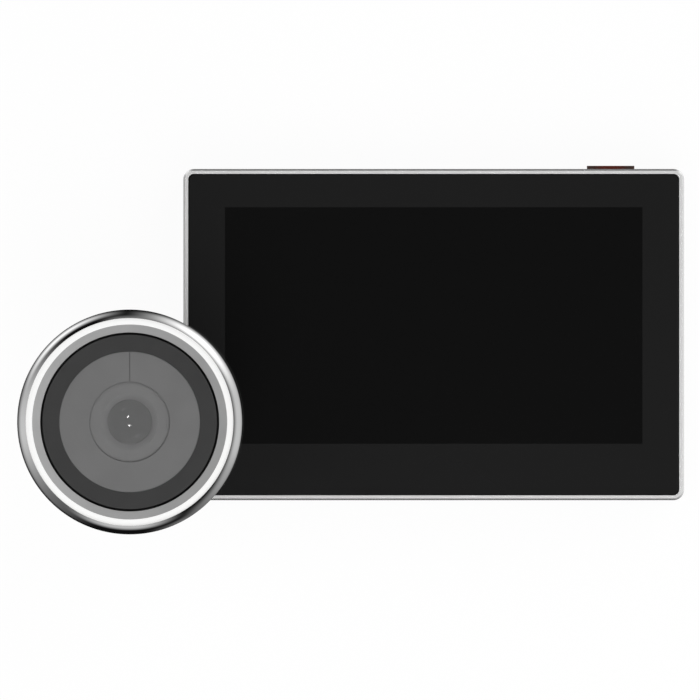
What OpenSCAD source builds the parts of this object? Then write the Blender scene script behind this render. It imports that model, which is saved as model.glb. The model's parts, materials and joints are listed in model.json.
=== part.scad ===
// Peephole door camera: an indoor screen unit hung on its door bracket, and an outdoor
// camera unit on a threaded barrel. Both lie face up: the screen unit on its back, the
// camera unit standing on the end of its barrel. The origin is under the layout's middle.

/* [Screen unit] */
// Width of the screen unit
monitor_w = 114; // [103:0.5:140]
// Height of the screen unit
monitor_h = 75.4; // [68:0.1:100]
// Depth of the screen unit from the door to the metal rim
monitor_t = 19; // [18:0.1:26]
// Corner radius of the screen unit
monitor_r = 2.4; // [2.2:0.1:5]
// Width of the metal rim seen from the front
rim_w = 1.1; // [0.9:0.05:1.3]
// Width of the bevel on the metal rim's outer edge
rim_bevel = 0.4; // [0.1:0.05:0.5]
// Fall of that bevel towards the outside
rim_fall = 0.3; // [0.1:0.05:0.4]
// Wall of the metal front frame
frame_wall = 1.6; // [1.4:0.1:2]
// Reach of the glass ledge from the frame's outer side
ledge_w = 2.8; // [2.5:0.1:3.4]
// Thickness of the glass ledge
ledge_t = 1.3; // [1:0.1:2]
// Thickness of the front glass
glass_t = 1.5; // [1:0.1:2]
// Depth of the glass below the rim
glass_recess = 0.1; // [0:0.05:0.3]
// Depth of the rear cover
cover_depth = 6.9; // [6.4:0.1:7.6]
// Side wall of the rear cover
cover_wall = 2.6; // [2.4:0.1:3.2]
// Back wall of the rear cover
cover_floor = 2; // [1.6:0.1:2.6]
// Bevel on the rear cover's back edge
cover_bevel = 1.2; // [0.4:0.1:1.8]
// Height of the rubber pads that hold the cover off the door
pad_h = 0.6; // [0.4:0.1:0.9]
// Diameter of the rubber pads
pad_d = 8; // [6:0.5:10]

/* [Display] */
// Width of the lit picture
screen_w = 95.04; // [80:0.01:106]
// Height of the lit picture
screen_h = 53.86; // [44:0.01:60]
// Panel margin above the picture
panel_top = 4.6; // [3:0.05:7]
// Gap from the frame's wall to the panel, above and below it
panel_gap = 2.5; // [2:0.05:3]
// Reach of the screw lugs from the frame's wall to the panel's sides
lug_w = 2.4; // [2.2:0.05:3]
// Thickness of the panel
panel_t = 2.9; // [2.4:0.1:3.2]
// Thickness of the foam between panel and glass
panel_foam_t = 0.4; // [0.3:0.05:0.6]
// Thickness of the mid plate behind the panel
carrier_t = 1.5; // [1.2:0.1:2]

/* [Electronics] */
// Width of the main board
board_w = 33; // [31:0.5:36]
// Thickness of the main board
board_t = 1.2; // [1:0.1:1.6]
// Height of the posts between mid plate and main board
board_post_h = 3.4; // [3.3:0.1:3.8]
// Width of the battery
battery_w = 53; // [40:0.5:58]
// Height of the battery
battery_h = 46; // [36:0.5:50]
// Place of the charging port below the middle
usb_drop = 12; // [11:0.5:14]
// Place of the card slot above the middle
card_rise = 7; // [6:0.5:8]
// Length of the speaker
speaker_l = 18; // [12:0.5:24]

/* [View button] */
// Width of the view button
button_w = 10.8; // [8:0.1:12]
// Depth of the view button from front to back
button_depth = 3; // [2.4:0.1:3]
// How far the view button stands out of the frame
button_proud = 0.8; // [0.6:0.05:1.5]
// Travel of the view button
button_travel = 0.5; // [0.3:0.05:0.5]
// Distance of the view button's middle from the screen unit's right side
button_inset = 16.6; // [14:0.1:20]

/* [Door bracket] */
// Width of the bracket plate
bracket_w = 56; // [55:1:66]
// Height of the bracket plate
bracket_h = 40; // [38:1:44]
// Thickness of the bracket plate
bracket_t = 1.5; // [1.2:0.1:1.8]
// Diameter of the bracket's centre hole
bracket_hole_d = 18; // [12:0.5:20]
// Diameter of the bracket's screw holes
bracket_screw_d = 4.2; // [3.2:0.1:4.6]
// Slide that frees the screen unit from the hooks
hook_travel = 8; // [7:0.5:8.5]

/* [Camera head] */
// Diameter of the camera head
head_d = 50.7; // [48:0.1:60]
// Thickness of the camera head from the door to its front
head_t = 15; // [14.6:0.1:20]
// Width of the chrome rim seen from the front
nose_w = 1.95; // [1.7:0.05:2.4]
// Width of the white light ring
light_w = 1.45; // [1:0.05:1.8]
// Width of the satin cone ring
cone_w = 1.77; // [1.5:0.01:2]
// Fall of the satin cone towards the middle
cone_fall = 1; // [0.4:0.1:1.4]
// Gap around the bell ring
bell_gap = 0.5; // [0.3:0.05:0.6]
// Width of the bell ring
bell_w = 3.7; // [3.4:0.1:4]
// Travel of the bell ring
bell_travel = 0.6; // [0.4:0.05:0.6]
// Diameter of the round window over the lens
window_d = 18.1; // [15:0.1:18.4]
// Diameter of the front lens
lens_d = 10; // [8:0.1:11]
// How far the head reaches below the screen unit
head_drop = 7.38; // [4:0.01:12]

/* [Barrel] */
// Diameter of the threaded barrel
barrel_d = 14; // [13:0.5:16]
// Diameter of the bore for the ribbon
bore_d = 10; // [8:0.5:10.5]
// Length of the barrel from the door seat to its end
barrel_len = 40; // [36:1:60]
// Length of the barrel above the joint with the extension tube
stub_len = 12; // [11:0.5:16]
// Pitch of the barrel's thread
thread_pitch = 1; // [0.8:0.1:1.5]
// Wall of the clamp nut
nut_wall = 3; // [2:0.1:4]
// Height of the clamp nut
nut_h = 6; // [4:0.5:8]
// Thickness of the clamp washer
washer_t = 1.2; // [0.8:0.1:2]
// Thickness of the door gasket
gasket_t = 1; // [0.6:0.1:2]

/* [Hidden] */
$fn = 96;

// Clearances
fit = 0.05; // between pieces that are assembled and stay put
slide_gap = 0.15; // around pieces that travel
free_gap = 0.3; // between pieces that pass each other
running = 0.06; // radial, nut and washer on the barrel
cut = 0.5; // by which a cutter overruns its face

// Radii from the barrel outwards
barrel_r = barrel_d / 2;
bore_r = bore_d / 2;
nut_r = barrel_r + nut_wall;
head_r = head_d / 2;

// Places of the two units, so that the layout's box is centred on the origin
nut_side_gap = 1.73; // from the clamp nut to the screen unit's side
head_dx = -(monitor_w / 2 + nut_side_gap + nut_r);
head_dy = head_r - head_drop - monitor_h / 2;
monitor_x = (head_r - head_dx - monitor_w / 2) / 2;
monitor_y = (head_r - head_dy - monitor_h / 2 - button_proud) / 2;
head_x = monitor_x + head_dx;
head_y = monitor_y + head_dy;
seat_z = barrel_len;

// Heights in the screen unit, from the front down
tape_t = 0.15; // adhesive under the glass edge
battery_tape_t = 0.3;
glass_gap = 0.28; // from the rim to the glass edge
glass_top_z = monitor_t - glass_recess;
glass_z = glass_top_z - glass_t;
ledge_z = glass_z - tape_t;
panel_top_z = glass_z - panel_foam_t;
panel_z = panel_top_z - panel_t;
carrier_z = panel_z - carrier_t;
board_top_z = carrier_z - board_post_h;
board_z = board_top_z - board_t;

// Heights in the screen unit, from the door up
split_z = pad_h + cover_depth;
floor_z = pad_h + cover_floor;
recess_gap = 0.5; // over the bracket plate, for the flat ribbon
recess_z = bracket_t + recess_gap;
recess_wall = 2;
recess_top_z = recess_z + recess_wall;
hook_head_t = 1.5;
hook_z = recess_top_z + free_gap;
hook_top_z = hook_z + hook_head_t;
battery_clear = 1.1; // over the hooks
battery_z = hook_top_z + battery_clear;
battery_t = carrier_z - battery_tape_t - battery_z;

// Outlines in the screen unit
glass_w = monitor_w - 2 * (rim_w + glass_gap);
glass_h = monitor_h - 2 * (rim_w + glass_gap);
glass_r = monitor_r - rim_w - glass_gap;
tape_inset = rim_w + fit; // of the adhesive, which fills the gap beside the glass
inner_r = 0.8; // inside corners of frame and cover
carrier_gap = 0.25; // from the frame to the mid plate and the panel
panel_w = monitor_w - 2 * (frame_wall + lug_w + carrier_gap);
panel_h = monitor_h - 2 * (frame_wall + panel_gap);
screen_y = panel_h / 2 - panel_top - screen_h / 2;
foam_edge = 0.5; // from the picture to the foam
lip_gap = 0.15; // from the cover's lip to the frame
lip_h = 1.2;

// Screw sizes, as radius of shank, radius of head and height of head
m2 = [1, 1.9, 1.3];
m16 = [0.8, 1.4, 0.6];
m14 = [0.7, 1.05, 0.6];
screw_fit = 0.02; // radial, in a tapped hole
screw_clear = 0.15; // radial, in a plain hole

// Posts that take the cover screws
post_inset_x = 8;
post_inset_y = 8.2;
post_x = monitor_w / 2 - post_inset_x;
post_y = monitor_h / 2 - post_inset_y;
post_r = 2.6;
pad_gap = 3.2; // from a post to the rubber pad beside it
cover_screw_l = 9;
cover_screw_sink = 2.9; // depth of the screw hole's wide part
cover_screw_z = pad_h + cover_screw_sink; // under the screw's head

// Lugs on the frame that take the mid plate's screws
lug_l = 5;
lug_x = monitor_w / 2 - frame_wall - lug_w / 2;
lug_pitch = 22;
carrier_screw_l = 3.2;

// Main board
usb_size = [7, 8, 2.6];
usb_recess = 0.6; // from the frame's outer side
socket_back_t = 1; // back wall of the side sockets
usb_wall = 0.3;
card_wall = 0.25;
card_size = [15, 14, 1.8];
board_gap = 1.1; // from the cover's wall, above and below
board_side_gap = 0.5; // from the cover's right wall
board_edge_x = monitor_w / 2 - cover_wall - board_side_gap;
board_left_x = board_edge_x - board_w;
board_edge_y = monitor_h / 2 - cover_wall - board_gap;
standoff_r = 2.2;
standoff_inset = 3.5;
standoff_gap = 1.8; // from the charging port
standoff_y = usb_drop + usb_size[1] / 2 + standoff_r + standoff_gap;
standoff_xs = [board_left_x + standoff_inset, board_edge_x - standoff_inset];
board_screw_l = 3.4;
post_room = 0.7; // around the posts that pass the board
chip_t = 1.4;
processor_w = 12;
memory_size = [9, 10];
radio_w = 6;
chip_gap = 2; // between neighbouring chips
chip_inset = 1.5; // from the battery socket
socket_h = 1.4;
underside_h = 2; // height of the sockets under the board
ribbon_l = 8.5;
ribbon_w = 5;
ribbon_y = -4.25;
ribbon_inset = 1; // from the board's left edge
ribbon_room = 1; // at each end of the socket, in the cover's slot

// Panel tail
flex_w = 16;
flex_t = 0.2;
flex_inset = 4.5; // from the board's left edge, past the standoff
flex_x = board_left_x + standoff_inset + flex_inset + flex_w / 2;
flex_edge = 0.6; // from the panel's lower edge
flex_run = 2.4; // along the panel's back
flex_fall = 4.2; // sloping down to the board
flex_start_y = flex_edge - panel_h / 2;
flex_bend_y = flex_start_y + flex_run;
flex_land_y = flex_bend_y + flex_fall;
flex_land_l = 3.8;
flex_slot_l = 6.3;
flex_room = 0.5; // around the tail in the mid plate's slot
flex_socket = [0.4, 3.4, 0.2]; // side margin, length, and distance past the bend

// Battery and speaker
battery_lead_l = 2;
battery_x = board_left_x - battery_lead_l - battery_w / 2;
battery_socket = [4, 8, 2.2];
battery_r = 2;
battery_tape_inset = 4;
chip_x = board_left_x + battery_socket[0] + chip_inset;
lead_r = 0.35;
lead_pitch = 1.4;
battery_lead_z = board_top_z + battery_socket[2] / 2;
speaker_w = 9;
speaker_h = 4.2;
speaker_x = -monitor_w / 2 + cover_wall;
speaker_lead_y = 2;
speaker_lead_z = board_z - underside_h + lead_r;
speaker_slots = 5;
speaker_socket_w = 3;
grille_margin = 0.6; // above and below the slots

// View button
button_x = monitor_w / 2 - button_inset;
button_lift = 1.6; // middle of the button above the board
button_z = board_top_z + button_lift;
flange_t = 1;
flange_over = 1.5;
flange_y = monitor_h / 2 - frame_wall - slide_gap;
switch_w = 6;
switch_l = 4;
switch_h = 3;
switch_gap = 1.1; // left over the switch when the button is pressed
switch_y = flange_y - flange_t - button_travel - switch_gap;
plunger_r = 0.9;
plunger_stroke = 1.2; // of the plunger inside the switch
plunger_l = button_travel + switch_gap + plunger_stroke;
plunger_fit = 0.1;

// Door bracket
bracket_r = 3;
bracket_gap = 0.5;
bracket_screw_inset = [5, 4];
bracket_screw_dx = bracket_w / 2 - bracket_screw_inset[0];
bracket_screw_dy = bracket_h / 2 - bracket_screw_inset[1];
countersink = 1;
hook_inset = 8;
hook_dx = bracket_w / 2 - hook_inset;
hook_dy = bracket_h / 2 - hook_inset;
hook_stem_w = 3;
hook_head_w = 7;
hook_depth = 1.5;
hook_side = 0.4; // beside the stem
hook_entry = 0.75; // around the head where it enters
recess_frame = 2; // wall around the recess

// Radii in the camera head, from the outside in
light_r = head_r - nose_w;
light_in_r = light_r - light_w;
cone_in_r = light_in_r - cone_w;
bell_r = cone_in_r - bell_gap;
bell_in_r = bell_r - bell_w;
centre_gap = 0.1; // between bell ring and lens surround
surround_r = bell_in_r - centre_gap;
window_r = window_d / 2;
lens_r = lens_d / 2;
bezel_wall = 1.1;
nose_a = [46, 80]; // degrees above level: where the chrome rim faces at its outer and inner edge
housing_r = head_r - bezel_wall - fit;
housing_wall = 1.7;
housing_in_r = housing_r - housing_wall;
light_flange_w = 0.75;
light_flange_r = light_in_r - light_flange_w;
lip_w = 1.2; // of the bell ring's catch
lip_r = bell_r + lip_w;
catch_gap = 0.2; // around that catch

// Heights in the camera head above the door seat
housing_back_t = 2;
flange_h = 1.2; // thickness of the barrel's flange
camera_socket_h = 1.6;
camera_socket_size = [9, 5];
camera_chip_size = [4, 6, 1.2];
camera_chip_gap = 0.6; // from the barrel's flange
camera_board_t = 1.2;
back_h = gasket_t;
inside_h = back_h + housing_back_t;
barrel_top_h = inside_h + flange_h;
camera_board_h = barrel_top_h + slide_gap + fit + camera_socket_h;
camera_top_h = camera_board_h + camera_board_t;
light_drop = 0.6; // of the light ring below the chrome rim
cone_drop = 0.1; // of the cone's edge below the light ring
light_top_h = head_t - light_drop;
cone_top_h = light_top_h - cone_drop;
cone_low_h = cone_top_h - cone_fall;
bell_drop = 0.1; // of the bell ring below the cone
surround_drop = 0.2; // of the lens surround below the bell ring
bell_top_h = cone_low_h - bell_drop;
surround_top_h = bell_top_h - surround_drop;
led_h = 0.7;
led_size = [0.9, 1.6];
led_inset = 0.2; // from the camera board's edge
led_count = 12;
led_gap = 0.5; // from the lamps to the light ring's flange
light_flange_h = camera_top_h + led_h + led_gap;
light_flange_t = 1.2;
shoulder_h = light_flange_h + light_flange_t;
catch_room = 1.3; // for the bell ring's catch and its travel
catch_h = shoulder_h + catch_room; // under the cone ring, where the bell ring stops
bell_t = 1.6;
bell_under_h = bell_top_h - bell_t;
catch_t = 0.9;
bell_edge = 0.25; // bevel on the bell ring
bell_skirt_w = 1.1;
surround_t = 1.4;
surround_under_h = surround_top_h - surround_t;
window_seat_t = 0.9;
window_seat_w = 0.95;
window_z = surround_under_h + window_seat_t;
window_edge = 0.25; // bevel on the window
seam_w = 0.2;

// Switches, springs and screws under the bell ring
bell_count = 3;
bell_pin_a = 90;
bell_spring_a = 30;
head_screw_a = 0;
bell_pin_in = 0.4; // of the pins inwards from the ring's middle
bell_mid_r = (bell_r + bell_in_r) / 2 - bell_pin_in;
bell_switch_w = 4;
bell_switch_h = 1.5;
bell_plunger_r = 0.8;
bell_plunger_room = 0.2; // left under a pressed plunger
bell_plunger_h = camera_top_h + bell_travel + bell_plunger_room; // its lower end
bell_pin_h = camera_top_h + bell_switch_h + bell_travel + slide_gap; // where pin and plunger meet
bell_pin_r = 1.1;
spring_r = 0.95;
spring_wire_r = 0.15;
spring_turns = 4;
spring_post_r = 0.6;
spring_post_l = 1.6;
ear_r = 2.1;
ear_t = 1.6;
boss_r = 2.2; // under the camera board, for the head's screws
head_screw_inset = 3.9; // from the housing's wall
head_screw_pcd_r = housing_in_r - head_screw_inset;
head_screw_h = back_h + m16[2]; // under the screw's head
head_screw_l = 6.6;

// Lens stack
surround_tube_out = 3.8; // from the window's edge
surround_tube_r = window_r + surround_tube_out;
surround_tube_wall = 1.6;
baffle_r = window_r - window_seat_w - fit;
baffle_t = 1.5;
baffle_gap = 0.05; // from the baffle to the window
baffle_h = window_z - baffle_gap - baffle_t;
lens_seat_t = 1;
lens_edge_t = 0.7;
lens_dome = 0.25;
throat_r = 2;
rear_lens_r = 3.2;
rear_lens_t = 0.6;
rear_lens_gap = 0.2; // from the rear lens to the lens barrel's end
holder_w = 12;
holder_wall = 1;
holder_base_t = 1.3;
holder_tube_wall = 1.15;
lens_body_r = 4.1;
lens_body_gap = 0.2; // from the sensor to the lens barrel
sensor_size = [6.5, 5.5, 0.8];
sensor_room = 0.1; // over the sensor
lens_body_h = camera_top_h + sensor_size[2] + lens_body_gap;
rear_lens_h = lens_body_h + rear_lens_gap;

// Barrel
flange_w = 4;
barrel_flange_r = barrel_r + flange_w;
flange_screw_out = 2.2; // from the barrel's side
flange_screw_r = barrel_r + flange_screw_out;
flange_screw_l = 2.4;
joint_z = seat_z - stub_len;
spigot_l = 5;
spigot_r = (bore_r + barrel_r) / 2 - fit;
end_bevel = 0.5;
groove_w = 0.46;
groove_d = 0.4;
thread_run_out = 0.5; // bare stretch under the door seat
thread_top_z = seat_z - thread_run_out;
washer_gap = 0.2; // from the washer to the door seat, where they are parked
washer_z = seat_z - washer_gap - washer_t;
washer_in = 0.2; // of the washer's edge inside the nut's
washer_r = nut_r - washer_in;
nut_z = washer_z - nut_h;
nut_notches = 12;
nut_notch_r = 1.2;
gasket_in = 2.5; // from the nut's edge to the gasket
gasket_out = 1.2; // from the gasket to the housing's edge
gasket_in_r = nut_r + gasket_in;
gasket_r = housing_r - gasket_out;
seal_groove_d = 0.7;
seal_groove_h = 1;
seal_clear = 0.02; // on each side of the seal, between groove and bezel
seal_r = (seal_groove_d + fit) / 2 - seal_clear;
seal_lift = 2; // above the housing's back wall
seal_z = inside_h + seal_lift;

// Placing of the two units

module on_monitor() {
    translate([monitor_x, monitor_y, 0]) children();
}

module on_head() {
    translate([head_x, head_y, seat_z]) children();
}

module around_head(start, radius) {
    for (i = [0:bell_count - 1])
        rotate([0, 0, start + i * 360 / bell_count]) translate([radius, 0, 0]) children();
}

// General shapes

module rounded(w, h, r) {
    square([w - 2 * r, h], center = true);
    square([w, h - 2 * r], center = true);
    for (x = [-1, 1], y = [-1, 1])
        translate([x * (w / 2 - r), y * (h / 2 - r)]) circle(r);
}

module slab(w, h, r, z0, z1) {
    translate([0, 0, z0]) linear_extrude(z1 - z0) rounded(w, h, r);
}

module block(size, at) {
    translate(at) cube(size);
}

// Carries a section round a rounded rectangle: x is the distance outwards, y the height
module swept_section(w, h, r) {
    for (side = [-1, 1]) {
        translate([0, side * h / 2, 0]) rotate([90, 0, side * 90])
            linear_extrude(w - 2 * r, center = true) children();
        translate([side * w / 2, 0, 0]) rotate([90, 0, side * 90 - 90])
            linear_extrude(h - 2 * r, center = true) children();
    }
    for (corner = [[1, 1, 0], [-1, 1, 90], [-1, -1, 180], [1, -1, 270]])
        translate([corner[0] * (w / 2 - r), corner[1] * (h / 2 - r), 0])
            rotate([0, 0, corner[2]]) rotate_extrude(angle = 90) translate([r, 0]) children();
}

module ring(r_in, r_out, z0, z1) {
    rotate_extrude() polygon([[r_in, z0], [r_out, z0], [r_out, z1], [r_in, z1]]);
}

// A dome of radius r that rises from z to z + rise
module dome(r, z, rise) {
    ball_r = (r * r + rise * rise) / (2 * rise);
    intersection() {
        translate([0, 0, z]) cylinder(r = r, h = rise);
        translate([0, 0, z + rise - ball_r]) sphere(ball_r, $fn = 192);
    }
}

// A screw along +Z whose head's underside is at z = 0, with a cross in its head
module screw(size, length) {
    difference() {
        union() {
            cylinder(r = size[0], h = length);
            translate([0, 0, -size[2]]) cylinder(r = size[1], h = size[2]);
        }
        for (turn = [0, 90])
            rotate([0, 0, turn])
                translate([-size[1] * 0.6, -size[0] * 0.2, -size[2] - cut])
                    cube([size[1] * 1.2, size[0] * 0.4, size[2] / 2 + cut]);
    }
}

function coil_ring(centre_r, wire_r, turn, z, sides) = [
    for (k = [0:sides - 1])
        let (a = 360 * k / sides, r = centre_r + wire_r * cos(a))
        [r * cos(turn), r * sin(turn), z + wire_r * sin(a)]
];

// A round wire wound round Z from z0 to z1
module coil(centre_r, wire_r, z0, z1, turns) {
    sides = 6;
    steps = 8 * turns;
    rise = (z1 - z0 - 2 * wire_r) / steps;
    points = [
        for (i = [0:steps])
            each coil_ring(centre_r, wire_r, 360 * turns * i / steps, z0 + wire_r + rise * i, sides)
    ];
    walls = [
        for (i = [0:steps - 1], k = [0:sides - 1])
            let (a = i * sides + k, b = i * sides + (k + 1) % sides)
            each [[a, a + sides, b + sides], [a, b + sides, b]]
    ];
    caps = [
        for (k = [1:sides - 2])
            each [[0, k, k + 1], [steps * sides, steps * sides + k + 1, steps * sides + k]]
    ];
    polyhedron(points, concat(walls, caps));
}

// Crests and grooves of a thread as seen in section, from z0 up to z1
function thread_section(r, z0, z1) = [
    for (z = [z0 + thread_pitch / 2 : thread_pitch : z1 - groove_w])
        each [[r, z - groove_w / 2], [r - groove_d, z], [r, z + groove_w / 2]]
];

// Door bracket

module at_hooks() {
    for (x = [-1, 1], y = [-1, 1])
        translate([x * hook_dx, y * hook_dy, 0]) children();
}

module hook() {
    translate([-hook_stem_w / 2, -hook_depth / 2, bracket_t - fit])
        cube([hook_stem_w, hook_depth, hook_z - bracket_t + 2 * fit]);
    translate([-hook_head_w / 2, -hook_depth / 2, hook_z])
        cube([hook_head_w, hook_depth, hook_head_t]);
}

module bracket_screw_hole() {
    r = bracket_screw_d / 2;
    translate([0, 0, -cut]) cylinder(r = r, h = bracket_t + 2 * cut);
    translate([0, 0, bracket_t - countersink]) cylinder(r1 = r, r2 = r + countersink, h = countersink);
}

module bracket_plate() {
    color([0.62, 0.63, 0.65]) on_monitor() {
        difference() {
            slab(bracket_w, bracket_h, bracket_r, 0, bracket_t);
            translate([0, 0, -cut]) cylinder(d = bracket_hole_d, h = bracket_t + 2 * cut);
            for (x = [-1, 1], y = [-1, 1])
                translate([x * bracket_screw_dx, y * bracket_screw_dy, 0]) bracket_screw_hole();
        }
        at_hooks() hook();
    }
}

// Screen unit, case

module at_posts() {
    for (x = [-1, 1], y = [-1, 1])
        translate([x * post_x, y * post_y, 0]) children();
}

module at_lugs() {
    for (x = [-1, 1], row = [-1, 0, 1])
        translate([x * lug_x, row * lug_pitch, 0]) children();
}

module at_pads() {
    for (x = [-1, 1], y = [-1, 1])
        translate([x * post_x, y * (post_y - post_r - pad_d / 2 - pad_gap), 0]) children();
}

// Footprint of the recess that the bracket sits in and slides out of
module recess_outline(margin) {
    translate([0, -hook_travel / 2])
        rounded(bracket_w + 2 * margin, bracket_h + hook_travel + 2 * margin, bracket_r);
}

module hook_slot() {
    entry_l = hook_depth + 2 * hook_entry;
    entry_w = hook_head_w + 2 * hook_entry;
    stem_w = hook_stem_w + 2 * hook_side;
    top_y = hook_depth / 2 + free_gap;
    low_y = -hook_travel - entry_l / 2;
    block([stem_w, top_y - low_y, recess_wall + 2 * cut], [-stem_w / 2, low_y, recess_z - cut]);
    block([entry_w, entry_l, recess_wall + 2 * cut], [-entry_w / 2, low_y, recess_z - cut]);
}

module cover_shell() {
    inner_w = monitor_w - 2 * cover_wall;
    inner_h = monitor_h - 2 * cover_wall;
    lip_w = 2 * (frame_wall + lip_gap);
    difference() {
        union() {
            translate([0, 0, pad_h]) {
                translate([monitor_r - monitor_w / 2, monitor_r - monitor_h / 2, 0])
                    cube([monitor_w - 2 * monitor_r, monitor_h - 2 * monitor_r, cover_depth]);
                swept_section(monitor_w, monitor_h, monitor_r)
                    polygon([
                        [-monitor_r, 0], [-cover_bevel, 0], [0, cover_bevel],
                        [0, cover_depth], [-monitor_r, cover_depth]
                    ]);
            }
            slab(monitor_w - lip_w, monitor_h - lip_w, inner_r, split_z - cut, split_z + lip_h);
        }
        slab(inner_w, inner_h, inner_r / 2, floor_z, split_z + lip_h + cut);
    }
}

module speaker_grille() {
    pitch = speaker_l / speaker_slots;
    for (i = [0:speaker_slots - 1])
        block(
            [cover_wall + 2 * cut, pitch / 2, speaker_h - 2 * grille_margin],
            [-monitor_w / 2 - cut, -speaker_l / 2 + pitch * (i + 0.25), floor_z + grille_margin]
        );
}

module rear_cover() {
    color([0.1, 0.1, 0.105]) on_monitor() difference() {
        union() {
            cover_shell();
            translate([0, 0, floor_z - cut]) linear_extrude(recess_top_z - floor_z + cut)
                recess_outline(bracket_gap + recess_frame);
            at_posts() translate([0, 0, floor_z - cut]) cylinder(r = post_r, h = split_z - floor_z + cut);
        }
        linear_extrude(recess_z) recess_outline(bracket_gap);
        at_hooks() hook_slot();
        block(
            [ribbon_w, ribbon_l + 2 * ribbon_room, recess_wall + 2 * cut],
            [board_left_x + ribbon_inset, ribbon_y - ribbon_l / 2 - ribbon_room, recess_z - cut]
        );
        at_posts() {
            cylinder(r = m2[1] + screw_clear, h = cover_screw_z);
            cylinder(r = m2[0] + screw_clear, h = split_z + cut);
        }
        at_pads() cylinder(d = pad_d + 2 * fit, h = 2 * pad_h);
        speaker_grille();
    }
}

module front_frame() {
    color([0.8, 0.81, 0.82]) on_monitor() difference() {
        union() {
            swept_section(monitor_w, monitor_h, monitor_r)
                polygon([
                    [0, split_z], [0, monitor_t - rim_fall], [-rim_bevel, monitor_t],
                    [-rim_w, monitor_t], [-rim_w, ledge_z], [-frame_wall, ledge_z], [-frame_wall, split_z]
                ]);
            translate([0, 0, ledge_z - ledge_t]) linear_extrude(ledge_t) difference() {
                rounded(monitor_w - 2 * rim_w, monitor_h - 2 * rim_w, inner_r);
                rounded(monitor_w - 2 * ledge_w, monitor_h - 2 * ledge_w, inner_r);
            }
            at_lugs() translate([-lug_w / 2, -lug_l / 2, panel_z])
                cube([lug_w, lug_l, panel_t - fit]);
        }
        at_lugs() translate([0, 0, panel_z - cut])
            cylinder(r = m14[0] + screw_fit, h = carrier_screw_l - carrier_t + 2 * cut);
        translate([button_x, monitor_h / 2, button_z])
            cube([button_w + 2 * slide_gap, 3 * frame_wall, button_depth + 2 * slide_gap], center = true);
        side_opening(usb_size, -usb_drop);
        side_opening(card_size, card_rise);
    }
}

// An opening in the right wall for a socket of the given size
module side_opening(size, y) {
    block(
        [3 * frame_wall, size[1] + 2 * slide_gap, size[2] + 2 * slide_gap],
        [monitor_w / 2 - 2 * frame_wall, y - size[1] / 2 - slide_gap, board_top_z - slide_gap]
    );
}

module cover_glass() {
    color([0.012, 0.012, 0.013]) on_monitor()
        slab(glass_w, glass_h, glass_r, glass_z, glass_top_z);
}

module glass_adhesive() {
    color([0.05, 0.05, 0.05]) on_monitor()
        translate([0, 0, ledge_z]) linear_extrude(tape_t) difference() {
            rounded(monitor_w - 2 * tape_inset, monitor_h - 2 * tape_inset, monitor_r - tape_inset);
            rounded(monitor_w - 2 * ledge_w, monitor_h - 2 * ledge_w, inner_r);
        }
}

module rear_pads() {
    color([0.06, 0.06, 0.06]) on_monitor() at_pads() cylinder(d = pad_d, h = 2 * pad_h);
}

module cover_screws() {
    color([0.5, 0.5, 0.52]) on_monitor() at_posts()
        translate([0, 0, cover_screw_z]) screw(m2, cover_screw_l);
}

// Screen unit, display

module lcd_module() {
    color([0.02, 0.02, 0.02]) on_monitor()
        slab(panel_w, panel_h, inner_r, panel_z, panel_top_z);
}

module lcd_gasket() {
    margin = 2 * (ledge_w + free_gap);
    color([0.04, 0.04, 0.04]) on_monitor()
        translate([0, 0, panel_top_z]) linear_extrude(panel_foam_t) difference() {
            square([monitor_w - margin, monitor_h - margin], center = true);
            translate([0, screen_y])
                square([screen_w + 2 * foam_edge, screen_h + 2 * foam_edge], center = true);
        }
}

module lcd_flex() {
    land_z = board_top_z + socket_h;
    color([0.75, 0.42, 0.1]) on_monitor()
        translate([flex_x, 0, 0]) rotate([90, 0, 90]) linear_extrude(flex_w, center = true)
            polygon([
                [flex_start_y, panel_z], [flex_start_y, panel_z - flex_t],
                [flex_bend_y - flex_t / 2, panel_z - flex_t], [flex_land_y - flex_t / 2, land_z],
                [flex_land_y + flex_land_l, land_z], [flex_land_y + flex_land_l, land_z + flex_t],
                [flex_land_y, land_z + flex_t], [flex_bend_y, panel_z]
            ]);
}

module lcd_carrier() {
    w = monitor_w - 2 * (frame_wall + carrier_gap);
    h = monitor_h - 2 * (frame_wall + carrier_gap);
    color([0.22, 0.22, 0.23]) on_monitor() difference() {
        union() {
            slab(w, h, inner_r, carrier_z, panel_z);
            at_posts() translate([0, 0, split_z]) cylinder(r = post_r, h = carrier_z - split_z + cut);
            at_standoffs() translate([0, 0, board_top_z]) cylinder(r = standoff_r, h = board_post_h + cut);
        }
        block(
            [flex_w + 2 * flex_room, flex_slot_l, carrier_t + 2 * cut],
            [flex_x - flex_w / 2 - flex_room, flex_start_y - flex_room, carrier_z - cut]
        );
        at_lugs() translate([0, 0, carrier_z - cut])
            cylinder(r = m14[0] + screw_clear, h = carrier_t + 2 * cut);
        at_posts() translate([0, 0, split_z - cut])
            cylinder(r = m2[0] + screw_fit, h = cover_screw_z + cover_screw_l - split_z + 2 * cut);
        at_standoffs() translate([0, 0, board_top_z - cut])
            cylinder(r = m16[0] + screw_fit, h = board_screw_l - board_t + 2 * cut);
    }
}

module carrier_screws() {
    color([0.5, 0.5, 0.52]) on_monitor() at_lugs()
        translate([0, 0, carrier_z]) screw(m14, carrier_screw_l);
}

// Screen unit, electronics

module at_standoffs() {
    for (x = standoff_xs, y = [-1, 1])
        translate([x, y * standoff_y, 0]) children();
}

module main_board() {
    color([0.05, 0.22, 0.12]) on_monitor() difference() {
        block([board_w, 2 * board_edge_y, board_t], [board_left_x, -board_edge_y, board_z]);
        at_posts() translate([0, 0, board_z - cut]) cylinder(r = post_r + post_room, h = board_t + 2 * cut);
        at_standoffs() translate([0, 0, board_z - cut])
            cylinder(r = m16[0] + screw_clear, h = board_t + 2 * cut);
    }
}

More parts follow.
